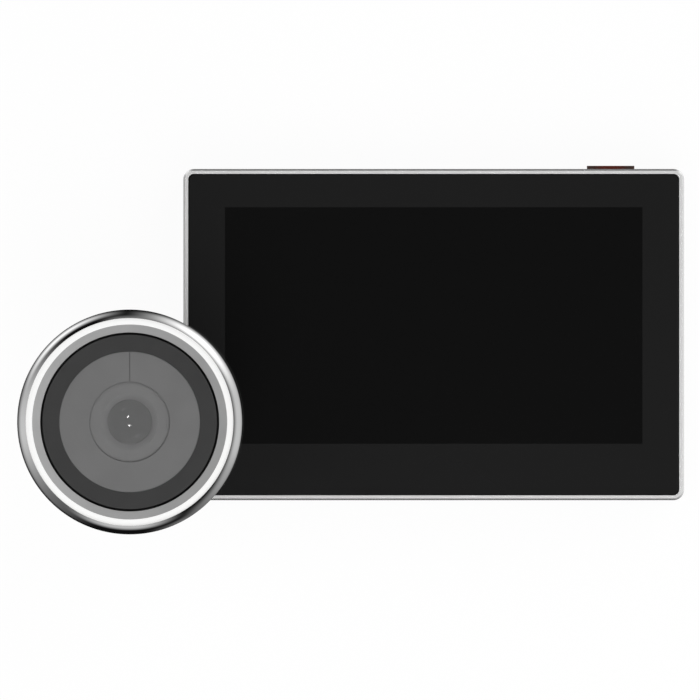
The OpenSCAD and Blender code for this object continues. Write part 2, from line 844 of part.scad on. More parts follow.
module board_screws() {
    color([0.5, 0.5, 0.52]) on_monitor() at_standoffs()
        translate([0, 0, board_z]) screw(m16, board_screw_l);
}

module board_chips() {
    side = processor_w / 2;
    color([0.08, 0.08, 0.09]) on_monitor() {
        block([processor_w, processor_w, chip_t], [chip_x, -side, board_top_z]);
        block([memory_size[0], memory_size[1], chip_t], [chip_x, side + chip_gap, board_top_z]);
        block([radio_w, radio_w, chip_t], [chip_x, -side - chip_gap - radio_w, board_top_z]);
    }
}

module board_sockets() {
    color([0.85, 0.83, 0.76]) on_monitor() {
        block(
            [flex_w + 2 * flex_socket[0], flex_socket[1], socket_h],
            [flex_x - flex_w / 2 - flex_socket[0], flex_land_y + flex_socket[2], board_top_z]
        );
        block(battery_socket, [board_left_x, -battery_socket[1] / 2, board_top_z]);
        block(
            [speaker_socket_w, speaker_socket_w, underside_h],
            [board_left_x, speaker_lead_y - speaker_socket_w / 2, board_z - underside_h]
        );
    }
}

module ribbon_socket() {
    color([0.82, 0.8, 0.74]) on_monitor()
        block(
            [ribbon_w, ribbon_l, underside_h],
            [board_left_x + ribbon_inset, ribbon_y - ribbon_l / 2, board_z - underside_h]
        );
}

// A socket with thin steel walls on the board's right edge, open to the right
module side_socket(size, y, wall) {
    x = monitor_w / 2 - usb_recess - size[0];
    color([0.72, 0.73, 0.74]) on_monitor()
        translate([x, y - size[1] / 2, board_top_z]) difference() {
            cube(size);
            translate([socket_back_t, wall, wall])
                cube([size[0], size[1] - 2 * wall, size[2] - 2 * wall]);
        }
}

module usb_port() {
    side_socket(usb_size, -usb_drop, usb_wall);
}

module card_slot() {
    side_socket(card_size, card_rise, card_wall);
}

module battery_cell() {
    color([0.7, 0.72, 0.74]) on_monitor()
        translate([battery_x, 0, 0])
            slab(battery_w, battery_h, battery_r, battery_z, battery_z + battery_t);
}

module battery_tape() {
    w = battery_w - 2 * battery_tape_inset;
    h = battery_h - 2 * battery_tape_inset;
    color([0.9, 0.85, 0.6]) on_monitor()
        translate([battery_x, 0, 0]) slab(w, h, battery_r, carrier_z - battery_tape_t, carrier_z);
}

module battery_leads() {
    color([0.7, 0.08, 0.06]) on_monitor()
        for (side = [-1, 1])
            translate([board_left_x - battery_lead_l, side * lead_pitch / 2, battery_lead_z])
                rotate([0, 90, 0]) cylinder(r = lead_r, h = battery_lead_l);
}

module speaker() {
    color([0.09, 0.09, 0.09]) on_monitor()
        block([speaker_w, speaker_l, speaker_h], [speaker_x, -speaker_l / 2, floor_z]);
}

module speaker_leads() {
    start_x = speaker_x + speaker_w;
    color([0.1, 0.1, 0.1]) on_monitor()
        for (side = [-1, 1])
            translate([start_x, speaker_lead_y + side * lead_pitch / 2, speaker_lead_z])
                rotate([0, 90, 0]) cylinder(r = lead_r, h = board_left_x - start_x);
}

// View button

module view_switch() {
    color([0.16, 0.16, 0.17]) on_monitor() difference() {
        block([switch_w, switch_l, switch_h], [button_x - switch_w / 2, switch_y - switch_l, board_top_z]);
        translate([button_x, switch_y + cut, button_z]) rotate([90, 0, 0])
            cylinder(r = plunger_r + plunger_fit, h = plunger_stroke + 2 * button_travel + cut);
    }
}

module view_plunger() {
    color([0.85, 0.85, 0.85]) on_monitor()
        translate([button_x, flange_y - flange_t, button_z]) rotate([90, 0, 0])
            cylinder(r = plunger_r, h = plunger_l);
}

module view_button() {
    color([0.3, 0.17, 0.13]) on_monitor() {
        block(
            [button_w, monitor_h / 2 + button_proud - flange_y + fit, button_depth],
            [button_x - button_w / 2, flange_y - fit, button_z - button_depth / 2]
        );
        block(
            [button_w + 2 * flange_over, flange_t, button_depth],
            [button_x - button_w / 2 - flange_over, flange_y - flange_t, button_z - button_depth / 2]
        );
    }
}

// Camera head, rings from the outside in

module chrome_bezel() {
    nose_r = nose_w / (cos(nose_a[0]) - cos(nose_a[1]));
    nose_mid = [light_r - nose_r * cos(nose_a[1]), head_t - nose_r * sin(nose_a[1])];
    edge_h = nose_mid[1] + nose_r * sin(nose_a[0]);
    skirt_h = back_h + free_gap;
    color([0.86, 0.86, 0.87]) on_head() rotate_extrude() {
        polygon([
            [housing_r + fit, skirt_h], [head_r, skirt_h], [head_r, edge_h],
            [light_r, edge_h], [light_r, shoulder_h], [housing_r + fit, shoulder_h]
        ]);
        intersection() {
            translate([light_r, edge_h]) square([nose_w + cut, head_t - edge_h + cut]);
            translate(nose_mid) circle(nose_r);
        }
    }
}

module light_ring() {
    color([0.96, 0.96, 0.95]) on_head() rotate_extrude()
        polygon([
            [light_flange_r, light_flange_h], [housing_r, light_flange_h], [housing_r, shoulder_h],
            [light_r - fit, shoulder_h], [light_r - fit, light_top_h], [light_in_r, light_top_h],
            [light_in_r, shoulder_h], [light_flange_r, shoulder_h]
        ]);
}

module inner_bezel() {
    foot_r = lip_r + catch_gap;
    color([0.62, 0.62, 0.63]) on_head() rotate_extrude()
        polygon([
            [foot_r, shoulder_h], [light_in_r - fit, shoulder_h], [light_in_r - fit, cone_top_h],
            [cone_in_r, cone_low_h], [cone_in_r, catch_h], [foot_r, catch_h]
        ]);
}

module bell_ring() {
    catch_top_h = catch_h - slide_gap;
    skirt_in_r = bell_r - bell_skirt_w;
    color([0.05, 0.05, 0.052]) on_head() {
        rotate_extrude()
            polygon([
                [bell_in_r, bell_under_h], [skirt_in_r, bell_under_h], [skirt_in_r, catch_top_h - catch_t],
                [lip_r, catch_top_h - catch_t], [lip_r, catch_top_h], [bell_r, catch_top_h],
                [bell_r, bell_top_h - bell_edge], [bell_r - bell_edge, bell_top_h],
                [bell_in_r + bell_edge, bell_top_h], [bell_in_r, bell_top_h - bell_edge]
            ]);
        around_head(bell_pin_a, bell_mid_r) translate([0, 0, bell_pin_h])
            cylinder(r = bell_pin_r, h = bell_under_h - bell_pin_h + cut);
        around_head(bell_spring_a, bell_mid_r) translate([0, 0, bell_under_h - spring_post_l])
            cylinder(r = spring_post_r, h = spring_post_l + cut);
    }
}

module bell_springs() {
    color([0.7, 0.7, 0.72]) on_head() around_head(bell_spring_a, bell_mid_r)
        coil(spring_r, spring_wire_r, camera_top_h + fit, bell_under_h - fit, spring_turns);
}

module bell_switches() {
    color([0.16, 0.16, 0.17]) on_head() around_head(bell_pin_a, bell_mid_r) difference() {
        translate([-bell_switch_w / 2, -bell_switch_w / 2, camera_top_h])
            cube([bell_switch_w, bell_switch_w, bell_switch_h]);
        translate([0, 0, camera_top_h - cut])
            cylinder(r = bell_plunger_r + plunger_fit, h = bell_switch_h + 2 * cut);
    }
}

module bell_plungers() {
    color([0.85, 0.85, 0.85]) on_head() around_head(bell_pin_a, bell_mid_r)
        translate([0, 0, bell_plunger_h]) cylinder(r = bell_plunger_r, h = bell_pin_h - bell_plunger_h);
}

// Camera head, lens stack

module lens_surround() {
    tube_in_r = surround_tube_r - surround_tube_wall;
    seat_r = window_r - window_seat_w;
    color([0.16, 0.16, 0.16]) on_head() difference() {
        union() {
            rotate_extrude()
                polygon([
                    [tube_in_r, camera_top_h], [surround_tube_r, camera_top_h],
                    [surround_tube_r, surround_under_h], [surround_r, surround_under_h],
                    [surround_r, surround_top_h], [window_r + fit, surround_top_h],
                    [window_r + fit, window_z], [seat_r, window_z],
                    [seat_r, surround_under_h], [tube_in_r, surround_under_h]
                ]);
            around_head(head_screw_a, 0) difference() {
                union() {
                    translate([head_screw_pcd_r, 0, camera_top_h]) cylinder(r = ear_r, h = ear_t);
                    translate([tube_in_r + fit, -ear_r, camera_top_h])
                        cube([head_screw_pcd_r - tube_in_r - fit, 2 * ear_r, ear_t]);
                }
                translate([head_screw_pcd_r, 0, camera_top_h - cut])
                    cylinder(r = m16[0] + screw_fit, h = ear_t + 2 * cut);
                translate([0, 0, camera_top_h - cut])
                    cylinder(r = tube_in_r + 2 * fit, h = ear_t + 2 * cut);
            }
        }
        translate([-seam_w / 2, window_r - fit, surround_top_h - seam_w])
            cube([seam_w, surround_r - window_r + cut, seam_w + cut]);
    }
}

module lens_window() {
    color([0.5, 0.5, 0.5, 0.4]) on_head() {
        translate([0, 0, window_z]) cylinder(r = window_r, h = surround_top_h - window_z);
        translate([0, 0, surround_top_h])
            cylinder(r1 = window_r, r2 = window_r - window_edge, h = window_edge);
    }
}

module lens_element() {
    seat_h = baffle_h + baffle_t - lens_seat_t;
    color([0.3, 0.3, 0.32, 0.5]) on_head() {
        translate([0, 0, seat_h]) cylinder(r = lens_r, h = lens_edge_t);
        dome(lens_r, seat_h + lens_edge_t, lens_dome);
    }
}

module lens_barrel() {
    top_h = baffle_h + baffle_t;
    seat_h = top_h - lens_seat_t;
    rear_h = rear_lens_h + rear_lens_t;
    color([0.12, 0.12, 0.12]) on_head() rotate_extrude()
        polygon([
            [rear_lens_r + fit, lens_body_h], [lens_body_r, lens_body_h], [lens_body_r, baffle_h],
            [baffle_r, baffle_h], [baffle_r, top_h], [lens_r + fit, top_h], [lens_r + fit, seat_h],
            [throat_r, seat_h], [throat_r, rear_h], [rear_lens_r + fit, rear_h]
        ]);
}

module rear_lens() {
    color([0.4, 0.42, 0.45, 0.5]) on_head()
        translate([0, 0, rear_lens_h]) cylinder(r = rear_lens_r, h = rear_lens_t);
}

module lens_holder() {
    cavity = holder_w - 2 * holder_wall;
    tube_r = lens_body_r + fit;
    tube_h = baffle_h - camera_top_h;
    color([0.06, 0.06, 0.06]) on_head() difference() {
        union() {
            translate([-holder_w / 2, -holder_w / 2, camera_top_h])
                cube([holder_w, holder_w, holder_base_t]);
            translate([0, 0, camera_top_h]) cylinder(r = tube_r + holder_tube_wall, h = tube_h);
        }
        translate([-cavity / 2, -cavity / 2, camera_top_h - cut])
            cube([cavity, cavity, cut + sensor_size[2] + sensor_room]);
        translate([0, 0, camera_top_h]) cylinder(r = tube_r, h = tube_h + cut);
    }
}

module image_sensor() {
    color([0.1, 0.13, 0.2]) on_head()
        translate([-sensor_size[0] / 2, -sensor_size[1] / 2, camera_top_h]) cube(sensor_size);
}

// Camera head, electronics and housing

module camera_board() {
    color([0.05, 0.22, 0.12]) on_head() difference() {
        translate([0, 0, camera_board_h]) cylinder(r = housing_in_r - slide_gap, h = camera_board_t);
        around_head(head_screw_a, head_screw_pcd_r) translate([0, 0, camera_board_h - cut])
            cylinder(r = m16[0] + screw_clear, h = camera_board_t + 2 * cut);
    }
}

module ring_leds() {
    led_r = housing_in_r - slide_gap - led_size[0] - led_inset;
    color([0.95, 0.93, 0.8]) on_head()
        for (i = [0:led_count - 1])
            rotate([0, 0, (i + 0.5) * 360 / led_count])
                translate([led_r, -led_size[1] / 2, camera_top_h]) cube([led_size[0], led_size[1], led_h]);
}

module camera_chip() {
    x = barrel_flange_r + camera_chip_gap;
    color([0.08, 0.08, 0.09]) on_head()
        translate([x, -camera_chip_size[1] / 2, camera_board_h - camera_chip_size[2]])
            cube(camera_chip_size);
}

module camera_socket() {
    w = camera_socket_size[0];
    l = camera_socket_size[1];
    color([0.82, 0.8, 0.74]) on_head()
        translate([-w / 2, -l / 2, camera_board_h - camera_socket_h]) cube([w, l, camera_socket_h]);
}

module head_housing() {
    color([0.1, 0.1, 0.105]) on_head() difference() {
        union() {
            rotate_extrude()
                polygon([
                    [barrel_r + 2 * fit, back_h], [housing_r, back_h],
                    [housing_r, seal_z - seal_groove_h / 2],
                    [housing_r - seal_groove_d, seal_z - seal_groove_h / 2],
                    [housing_r - seal_groove_d, seal_z + seal_groove_h / 2],
                    [housing_r, seal_z + seal_groove_h / 2], [housing_r, light_flange_h],
                    [housing_in_r, light_flange_h], [housing_in_r, inside_h], [barrel_r + 2 * fit, inside_h]
                ]);
            around_head(head_screw_a, head_screw_pcd_r) translate([0, 0, inside_h - cut])
                cylinder(r = boss_r, h = camera_board_h - inside_h + cut);
        }
        around_head(head_screw_a, head_screw_pcd_r) {
            translate([0, 0, back_h - cut]) cylinder(r = m16[0] + screw_clear, h = camera_board_h);
            translate([0, 0, back_h - cut])
                cylinder(r = m16[1] + screw_clear, h = head_screw_h - back_h + cut);
        }
        around_head(bell_pin_a, flange_screw_r)
            translate([0, 0, barrel_top_h - flange_screw_l - fit])
                cylinder(r = m16[0] + screw_fit, h = flange_screw_l);
    }
}

module housing_seal() {
    color([0.05, 0.05, 0.05]) on_head() rotate_extrude()
        translate([housing_r + (fit - seal_groove_d) / 2, seal_z]) circle(seal_r);
}

module head_screws() {
    color([0.5, 0.5, 0.52]) on_head() around_head(head_screw_a, head_screw_pcd_r)
        translate([0, 0, head_screw_h]) screw(m16, head_screw_l);
}

module door_gasket() {
    color([0.07, 0.07, 0.07]) on_head() ring(gasket_in_r, gasket_r, 0, gasket_t);
}

// Barrel and its clamp

module barrel() {
    top_z = seat_z + barrel_top_h;
    flange_z = seat_z + inside_h;
    socket_r = spigot_r + fit;
    socket_z = joint_z + spigot_l + 2 * fit;
    color([0.55, 0.56, 0.58]) translate([head_x, head_y, 0]) difference() {
        rotate_extrude()
            polygon(concat(
                [[socket_r, joint_z], [barrel_r - end_bevel, joint_z], [barrel_r, joint_z + end_bevel]],
                thread_section(barrel_r, joint_z + end_bevel, thread_top_z),
                [
                    [barrel_r, flange_z], [barrel_flange_r, flange_z], [barrel_flange_r, top_z],
                    [bore_r, top_z], [bore_r, socket_z], [socket_r, socket_z]
                ]
            ));
        around_head(bell_pin_a, flange_screw_r) translate([0, 0, flange_z - cut])
            cylinder(r = m16[0] + screw_clear, h = flange_h + 2 * cut);
    }
}

module barrel_screws() {
    color([0.5, 0.5, 0.52]) on_head() around_head(bell_pin_a, flange_screw_r)
        translate([0, 0, barrel_top_h]) rotate([180, 0, 0]) screw(m16, flange_screw_l);
}

module extension_tube() {
    color([0.55, 0.56, 0.58]) translate([head_x, head_y, 0]) rotate_extrude()
        polygon(concat(
            [[bore_r, 0], [barrel_r - end_bevel, 0], [barrel_r, end_bevel]],
            thread_section(barrel_r, end_bevel, joint_z - end_bevel),
            [
                [barrel_r, joint_z - end_bevel], [barrel_r - end_bevel, joint_z], [spigot_r, joint_z],
                [spigot_r, joint_z + spigot_l], [bore_r, joint_z + spigot_l]
            ]
        ));
}

module clamp_washer() {
    color([0.85, 0.85, 0.83]) translate([head_x, head_y, 0])
        ring(barrel_r + running, washer_r, washer_z, washer_z + washer_t);
}

module clamp_nut() {
    color([0.7, 0.71, 0.72]) translate([head_x, head_y, 0]) difference() {
        ring(barrel_r + running, nut_r, nut_z, nut_z + nut_h);
        for (i = [0:nut_notches - 1])
            rotate([0, 0, i * 360 / nut_notches]) translate([nut_r + nut_notch_r / 3, 0, nut_z - cut])
                cylinder(r = nut_notch_r, h = nut_h + 2 * cut);
    }
}

bracket_plate();
rear_cover();
front_frame();
cover_glass();
glass_adhesive();
lcd_module();
lcd_gasket();
lcd_flex();
lcd_carrier();
carrier_screws();
cover_screws();
rear_pads();
main_board();
board_screws();
board_chips();
board_sockets();
ribbon_socket();
usb_port();
card_slot();
battery_cell();
battery_tape();
battery_leads();
speaker();
speaker_leads();
view_switch();
view_plunger();
view_button();
chrome_bezel();
light_ring();
inner_bezel();
bell_ring();
bell_springs();
bell_switches();
bell_plungers();
lens_surround();
lens_window();
lens_element();
rear_lens();
lens_barrel();
lens_holder();
image_sensor();
camera_board();
ring_leds();
camera_chip();
camera_socket();
head_housing();
housing_seal();
head_screws();
barrel();
barrel_screws();
extension_tube();
door_gasket();
clamp_washer();
clamp_nut();
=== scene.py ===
# %% [markdown]
# # A peephole door camera in two units
# A door camera of this kind has a screen unit that hangs inside the door and a round camera head that
# looks out, on a threaded barrel that passes through the peephole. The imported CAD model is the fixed
# frame of this lesson: each cell dresses one piece of it, or makes a finer one in its place, in the same
# frame and in metres.

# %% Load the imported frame
import json

import bpy
import numpy as np
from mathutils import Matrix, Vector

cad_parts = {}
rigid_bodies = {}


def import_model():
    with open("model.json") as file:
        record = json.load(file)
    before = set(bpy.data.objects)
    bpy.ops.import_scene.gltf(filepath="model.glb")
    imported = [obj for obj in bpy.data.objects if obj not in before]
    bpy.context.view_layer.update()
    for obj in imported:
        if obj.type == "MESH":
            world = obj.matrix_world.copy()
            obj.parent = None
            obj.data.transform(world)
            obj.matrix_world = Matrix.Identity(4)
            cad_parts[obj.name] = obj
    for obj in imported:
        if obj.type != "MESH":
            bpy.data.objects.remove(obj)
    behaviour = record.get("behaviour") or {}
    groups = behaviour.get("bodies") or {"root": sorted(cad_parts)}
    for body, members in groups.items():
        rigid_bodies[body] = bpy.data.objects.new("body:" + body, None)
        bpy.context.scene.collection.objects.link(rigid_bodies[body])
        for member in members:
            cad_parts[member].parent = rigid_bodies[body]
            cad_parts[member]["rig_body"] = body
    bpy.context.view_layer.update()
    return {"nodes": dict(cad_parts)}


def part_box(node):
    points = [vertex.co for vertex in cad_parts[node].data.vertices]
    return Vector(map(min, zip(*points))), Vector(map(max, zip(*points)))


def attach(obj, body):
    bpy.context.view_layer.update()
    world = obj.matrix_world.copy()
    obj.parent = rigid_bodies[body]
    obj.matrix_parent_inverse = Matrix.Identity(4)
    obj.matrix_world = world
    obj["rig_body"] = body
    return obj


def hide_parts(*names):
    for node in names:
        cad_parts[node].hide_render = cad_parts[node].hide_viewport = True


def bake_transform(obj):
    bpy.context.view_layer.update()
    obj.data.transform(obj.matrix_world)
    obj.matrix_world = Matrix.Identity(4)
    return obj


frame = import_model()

MM = 0.001
scene = bpy.context.scene

# %% [markdown]
# ## The camera
# The photograph looks straight at both faces, and hardly any side wall shows, so it was taken from far
# away. A long lens at 3.56 m gives the same view: one picture point is 0.228 mm on the screen's glass.
# Turning the camera is not needed, because a new Blender camera looks down and the faces of both units
# look up.

# %% Camera straight above the faces
CAMERA_AT = -0.517, -0.217, 3559.9
front_view = bpy.data.cameras.new("front_view")
front_view.lens = 800
front_view.sensor_width = 36
front_view.clip_end = 20
camera = bpy.data.objects.new("front_view", front_view)
camera.location = [x * MM for x in CAMERA_AT]
scene.collection.objects.link(camera)
scene.camera = camera
scene.view_settings.view_transform = "Standard"
print("camera at", CAMERA_AT, "mm")


# %% [markdown]
# ## Building node trees
# Every finish below is a node tree. One helper adds a node, sets its options and either links each input
# or sets its value, so that a finish reads as a list of what feeds what.

# %% Node helper
def add(tree, kind, inputs=(), **settings):
    """Add a shader node. Inputs go by name or position: a socket is linked, anything else is set."""
    made = tree.nodes.new("ShaderNode" + kind)
    for option, value in settings.items():
        setattr(made, option, value)
    for key, value in inputs.items() if isinstance(inputs, dict) else enumerate(inputs):
        if isinstance(value, bpy.types.NodeSocket):
            tree.links.new(value, made.inputs[key])
        else:
            made.inputs[key].default_value = value
    return made


def calculate(tree, operation, *values):
    """One Math node, and its result."""
    return add(tree, "Math", values, operation=operation).outputs[0]


def smooth(tree, value, start, end):
    """0 at one value and 1 at another, with a soft run between them."""
    limits = {"Value": value, "From Min": start, "From Max": end}
    return add(tree, "MapRange", limits, interpolation_type="SMOOTHSTEP").outputs[0]


def mix_colour(tree, share, first, second):
    """A mix of two colours. Its sockets go by position, because other types of mix share their names."""
    return add(tree, "Mix", {0: share, 6: first, 7: second}, data_type="RGBA").outputs[2]


def new_group(name, inputs, outputs):
    """An empty shader node group with named float or vector inputs and float outputs."""
    tree = bpy.data.node_groups.new(name, "ShaderNodeTree")
    for label in inputs:
        kind = "NodeSocketVector" if label == "Vector" else "NodeSocketFloat"
        tree.interface.new_socket(label, in_out="INPUT", socket_type=kind)
    for label in outputs:
        tree.interface.new_socket(label, in_out="OUTPUT", socket_type="NodeSocketFloat")
    return tree, tree.nodes.new("NodeGroupInput").outputs, tree.nodes.new("NodeGroupOutput").inputs


# %% [markdown]
# ## The studio
# Polished metal has no look of its own: it shows the room. The bright ring in the photograph shows soft
# boxes at the right, the upper left, the left and below, with black between them, and the black glass
# shows a dark ceiling straight above. Lamps could stand there, but they would get in the way of other
# views. So the world itself holds the soft boxes: each is a patch of directions, given by its turn about
# the object and its tilt from straight up. Four small patches near straight up show in the domed lens, as
# two points and two arcs.

# %% Soft box group
BOX_SOCKETS = "Box Turn", "Half Turn", "Box Tilt", "Half Tilt", "Turn Edge", "Tilt Edge"
soft_box, given, result = new_group("soft_box", ("Turn", "Tilt", *BOX_SOCKETS, "Light"), ("Light",))


def box_edge(distance, half, edge):
    """1 inside the half width and 0 outside, with a soft edge on both sides of it."""
    outer = calculate(soft_box, "ADD", given[half], given[edge])
    inner = calculate(soft_box, "SUBTRACT", given[half], given[edge])
    return smooth(soft_box, distance, outer, inner)


turn_away = calculate(soft_box, "SUBTRACT", given["Turn"], given["Box Turn"])
turn_away = calculate(soft_box, "ABSOLUTE", calculate(soft_box, "WRAP", turn_away, np.pi, -np.pi))
tilt_away = calculate(soft_box, "SUBTRACT", given["Tilt"], given["Box Tilt"])
tilt_away = calculate(soft_box, "ABSOLUTE", tilt_away)
turn_lit = box_edge(turn_away, "Half Turn", "Turn Edge")
tilt_lit = box_edge(tilt_away, "Half Tilt", "Tilt Edge")
lit = calculate(soft_box, "MULTIPLY", turn_lit, tilt_lit)
soft_box.links.new(calculate(soft_box, "MULTIPLY", lit, given["Light"]), result["Light"])
print("soft box group:", len(soft_box.nodes), "nodes")

# %% [markdown]
# Each row below gives degrees in the order of the sockets, which are turn, half turn, tilt, half tilt and
# the two edges, and last the light. The boxes fade out between two tilts, so that straight above stays
# dark.

# %% Soft boxes in the world
SOFT_BOXES = {
    "right_top": (53, 21.5, 49.5, 19.5, 20, 15, 1.59),
    "right": (15, 45, 59.5, 29, 20, 20, 0.92),
    "upper_left": (129.5, 20.5, 63.5, 12, 18, 14, 1.9),
    "left": (175.5, 29, 35, 35.5, 20, 20, 0.67),
    "lower_left": (201, 32.5, 46.5, 29.5, 20, 9.5, 0.28),
    "below": (265, 21.5, 26.5, 18.5, 14.5, 12.5, 0.87),
    "lower_right": (317, 12, 69, 26, 10.5, 20, 0.32),
    "low_right": (295, 4, 80.5, 15, 15.5, 12, 0.35),
    "overhead": (67.5, 36.5, 13, 16.5, 7, 20, 0.4),
    "horizon": (0, 200, 90, 1.6, 1, 0.2, 1.0),
}
LENS_PATCHES = {
    "upper_point": (119.4, 9, 2.9, 0.3, 4, 0.12, 22),
    "lower_point": (253.5, 17, 2.02, 0.3, 5, 0.12, 45),
    "upper_arc": (118.8, 10, 7.24, 0.4, 8, 0.35, 0.6),
    "lower_arc": (292, 14, 8.03, 0.4, 8, 0.35, 0.6),
}
DARK_WITHIN, OPEN_BEYOND = np.radians(8), np.radians(20)
CEILING = 0.008

world = bpy.data.worlds.new("studio")
world.use_nodes = True
scene.world = world
sky = world.node_tree
direction = add(sky, "SeparateXYZ", [add(sky, "TexCoord").outputs["Generated"]]).outputs
turn = calculate(sky, "ARCTAN2", direction["Y"], direction["X"])
tilt = calculate(sky, "ARCCOSINE", direction["Z"])


def lit_by(boxes):
    """The light of a table of soft boxes, added up."""
    total = 0.0
    for label, (*angles, strength) in boxes.items():
        box = add(sky, "Group", node_tree=soft_box, label=label)
        box.inputs["Light"].default_value = strength
        for socket, angle in zip(BOX_SOCKETS, angles):
            box.inputs[socket].default_value = np.radians(angle)
        sky.links.new(turn, box.inputs["Turn"])
        sky.links.new(tilt, box.inputs["Tilt"])
        total = calculate(sky, "ADD", box.outputs["Light"], total)
    return total


opened = smooth(sky, tilt, DARK_WITHIN, OPEN_BEYOND)
light = calculate(sky, "MULTIPLY", lit_by(SOFT_BOXES), opened)
light = calculate(sky, "ADD", light, lit_by(LENS_PATCHES))
light = calculate(sky, "ADD", light, CEILING)
sky.links.new(light, sky.nodes["Background"].inputs["Strength"])
sky.nodes["Background"].inputs["Color"].default_value = (1, 1, 1, 1)
print("studio:", len(SOFT_BOXES), "soft boxes and", len(LENS_PATCHES), "small patches")

# %% [markdown]
# A large lamp fills in from above the picture's lower edge, so that matt surfaces show about the colour
# that is written for them. It is left out of reflections, where the photograph shows no such box.

# %% Fill lamp
FILL_SIZE, FILL_WATTS, FILL_FAR = 1.6, 16.0, 1.53
FILL_TURN, FILL_TILT = np.radians(-75), np.radians(35)
fill = bpy.data.lights.new("fill", "AREA")
fill.shape = "DISK"
fill.size = FILL_SIZE
fill.energy = FILL_WATTS
fill_lamp = bpy.data.objects.new("fill", fill)
fill_lamp.location = FILL_FAR * np.array([
    np.sin(FILL_TILT) * np.cos(FILL_TURN), np.sin(FILL_TILT) * np.sin(FILL_TURN), np.cos(FILL_TILT)])
fill_lamp.rotation_euler = (FILL_TILT, 0.0, FILL_TURN + np.pi / 2)
fill_lamp.visible_glossy = False
fill_lamp.visible_transmission = False
scene.collection.objects.link(fill_lamp)
print("fill lamp:", FILL_WATTS, "W")

# %% [markdown]
# The floor is white. To the camera, and in metal and glass, it shows mostly as plain white light, as a
# lit studio sweep does, and the rest is an ordinary white surface that keeps the object's soft shadow.
# Its lower side is clear, so that the underside of the object can be looked at.

# %% Floor
FLOOR_REACH = 6.0
FLOOR_DROP = 0.02 * MM
FLOOR_GLOW, FLOOR_PAINT = 0.95, 0.93
side = np.array([-1.0, 1.0]) * FLOOR_REACH
floor_mesh = bpy.data.meshes.new("floor")
floor_mesh.from_pydata([(x, y, -FLOOR_DROP) for y in side for x in side], [], [(0, 1, 3, 2)])
floor = bpy.data.objects.new("floor", floor_mesh)
scene.collection.objects.link(floor)

floor_white = bpy.data.materials.new("floor_white")
floor_white.use_nodes = True
tree = floor_white.node_tree
tree.nodes.remove(tree.nodes["Principled BSDF"])
rays = add(tree, "LightPath").outputs
seen = calculate(tree, "MAXIMUM", rays["Is Camera Ray"], rays["Is Glossy Ray"])
seen = calculate(tree, "MAXIMUM", seen, rays["Is Transmission Ray"])
glow_share = calculate(tree, "MULTIPLY", seen, FLOOR_GLOW)
paint = add(tree, "BsdfDiffuse", {"Color": (FLOOR_PAINT, FLOOR_PAINT, FLOOR_PAINT, 1)}).outputs[0]
glow = add(tree, "Emission", {"Color": (1, 1, 1, 1), "Strength": 1.0}).outputs[0]
upper = add(tree, "MixShader", [glow_share, paint, glow]).outputs[0]
clear = add(tree, "BsdfTransparent").outputs[0]
facing = add(tree, "NewGeometry").outputs["Backfacing"]
sides = add(tree, "MixShader", [facing, upper, clear]).outputs[0]
tree.links.new(sides, tree.nodes["Material Output"].inputs["Surface"])
floor_mesh.materials.append(floor_white)
print("floor:", 2 * FLOOR_REACH, "m across")

# %% [markdown]
# ## Surface patterns
# A real surface is never one flat colour. Moulded plastic has a fine spark-eroded grain, drawn metal has
# lines along it, turned metal has rings about its axis, and whatever is handled has soft smudges. Each is
# a shader group that reads a place and a size, and puts out a fine value, Grain, and a broad one, Mottle.
# All of them have the same sockets, so any finish can take any pattern. Noise on the object's own
# coordinates keeps a pattern still when the piece moves, and it has no picture to stretch.

# %% Noise helpers
PATTERN_SOCKETS = ("Vector", "Size"), ("Grain", "Mottle")
NOISE_LOW, NOISE_HIGH = 0.3, 0.7
BROADER = 30.0


def noise(tree, place, scale, detail=3.0):
    """Noise of about 0 to 1 at a place, scale per metre."""
    return add(tree, "TexNoise", {"Vector": place, "Scale": scale, "Detail": detail}).outputs["Fac"]


def broad(tree, place, size):
    """The broad value that all patterns share: noise coarser than the grain, with more contrast."""
    wide = noise(tree, place, calculate(tree, "DIVIDE", size, BROADER), detail=2.0)
    return add(tree, "MapRange", {"Value": wide, "From Min": NOISE_LOW, "From Max": NOISE_HIGH}).outputs[0]


def scaled(tree, place, factors):
    """A place times a factor for each axis."""
    return add(tree, "VectorMath", [place, factors], operation="MULTIPLY").outputs[0]


def from_axis(tree, place):
    """Distance of a place from the Z axis: the length of what is left of it with Z taken as 0."""
    return add(tree, "VectorMath", [scaled(tree, place, (1, 1, 0))], operation="LENGTH").outputs["Value"]


# %% Pattern groups
LINE_STRETCH = 0.02, 1, 1
RING_RISE, RING_SWEEP = 0.6, 0.0001
WARP_SCALE, WARP_REACH = 60.0, (0.01, 0.01, 0.01)
SMUDGE_STRETCH = 0.25, 1, 1

moulded_grain, given, result = new_group("moulded_grain", *PATTERN_SOCKETS)
moulded_grain.links.new(noise(moulded_grain, given["Vector"], given["Size"]), result["Grain"])
moulded_grain.links.new(broad(moulded_grain, given["Vector"], given["Size"]), result["Mottle"])

drawn_lines, given, result = new_group("drawn_lines", *PATTERN_SOCKETS)
lines = scaled(drawn_lines, given["Vector"], LINE_STRETCH)
drawn_lines.links.new(noise(drawn_lines, lines, given["Size"]), result["Grain"])
drawn_lines.links.new(broad(drawn_lines, given["Vector"], given["Size"]), result["Mottle"])

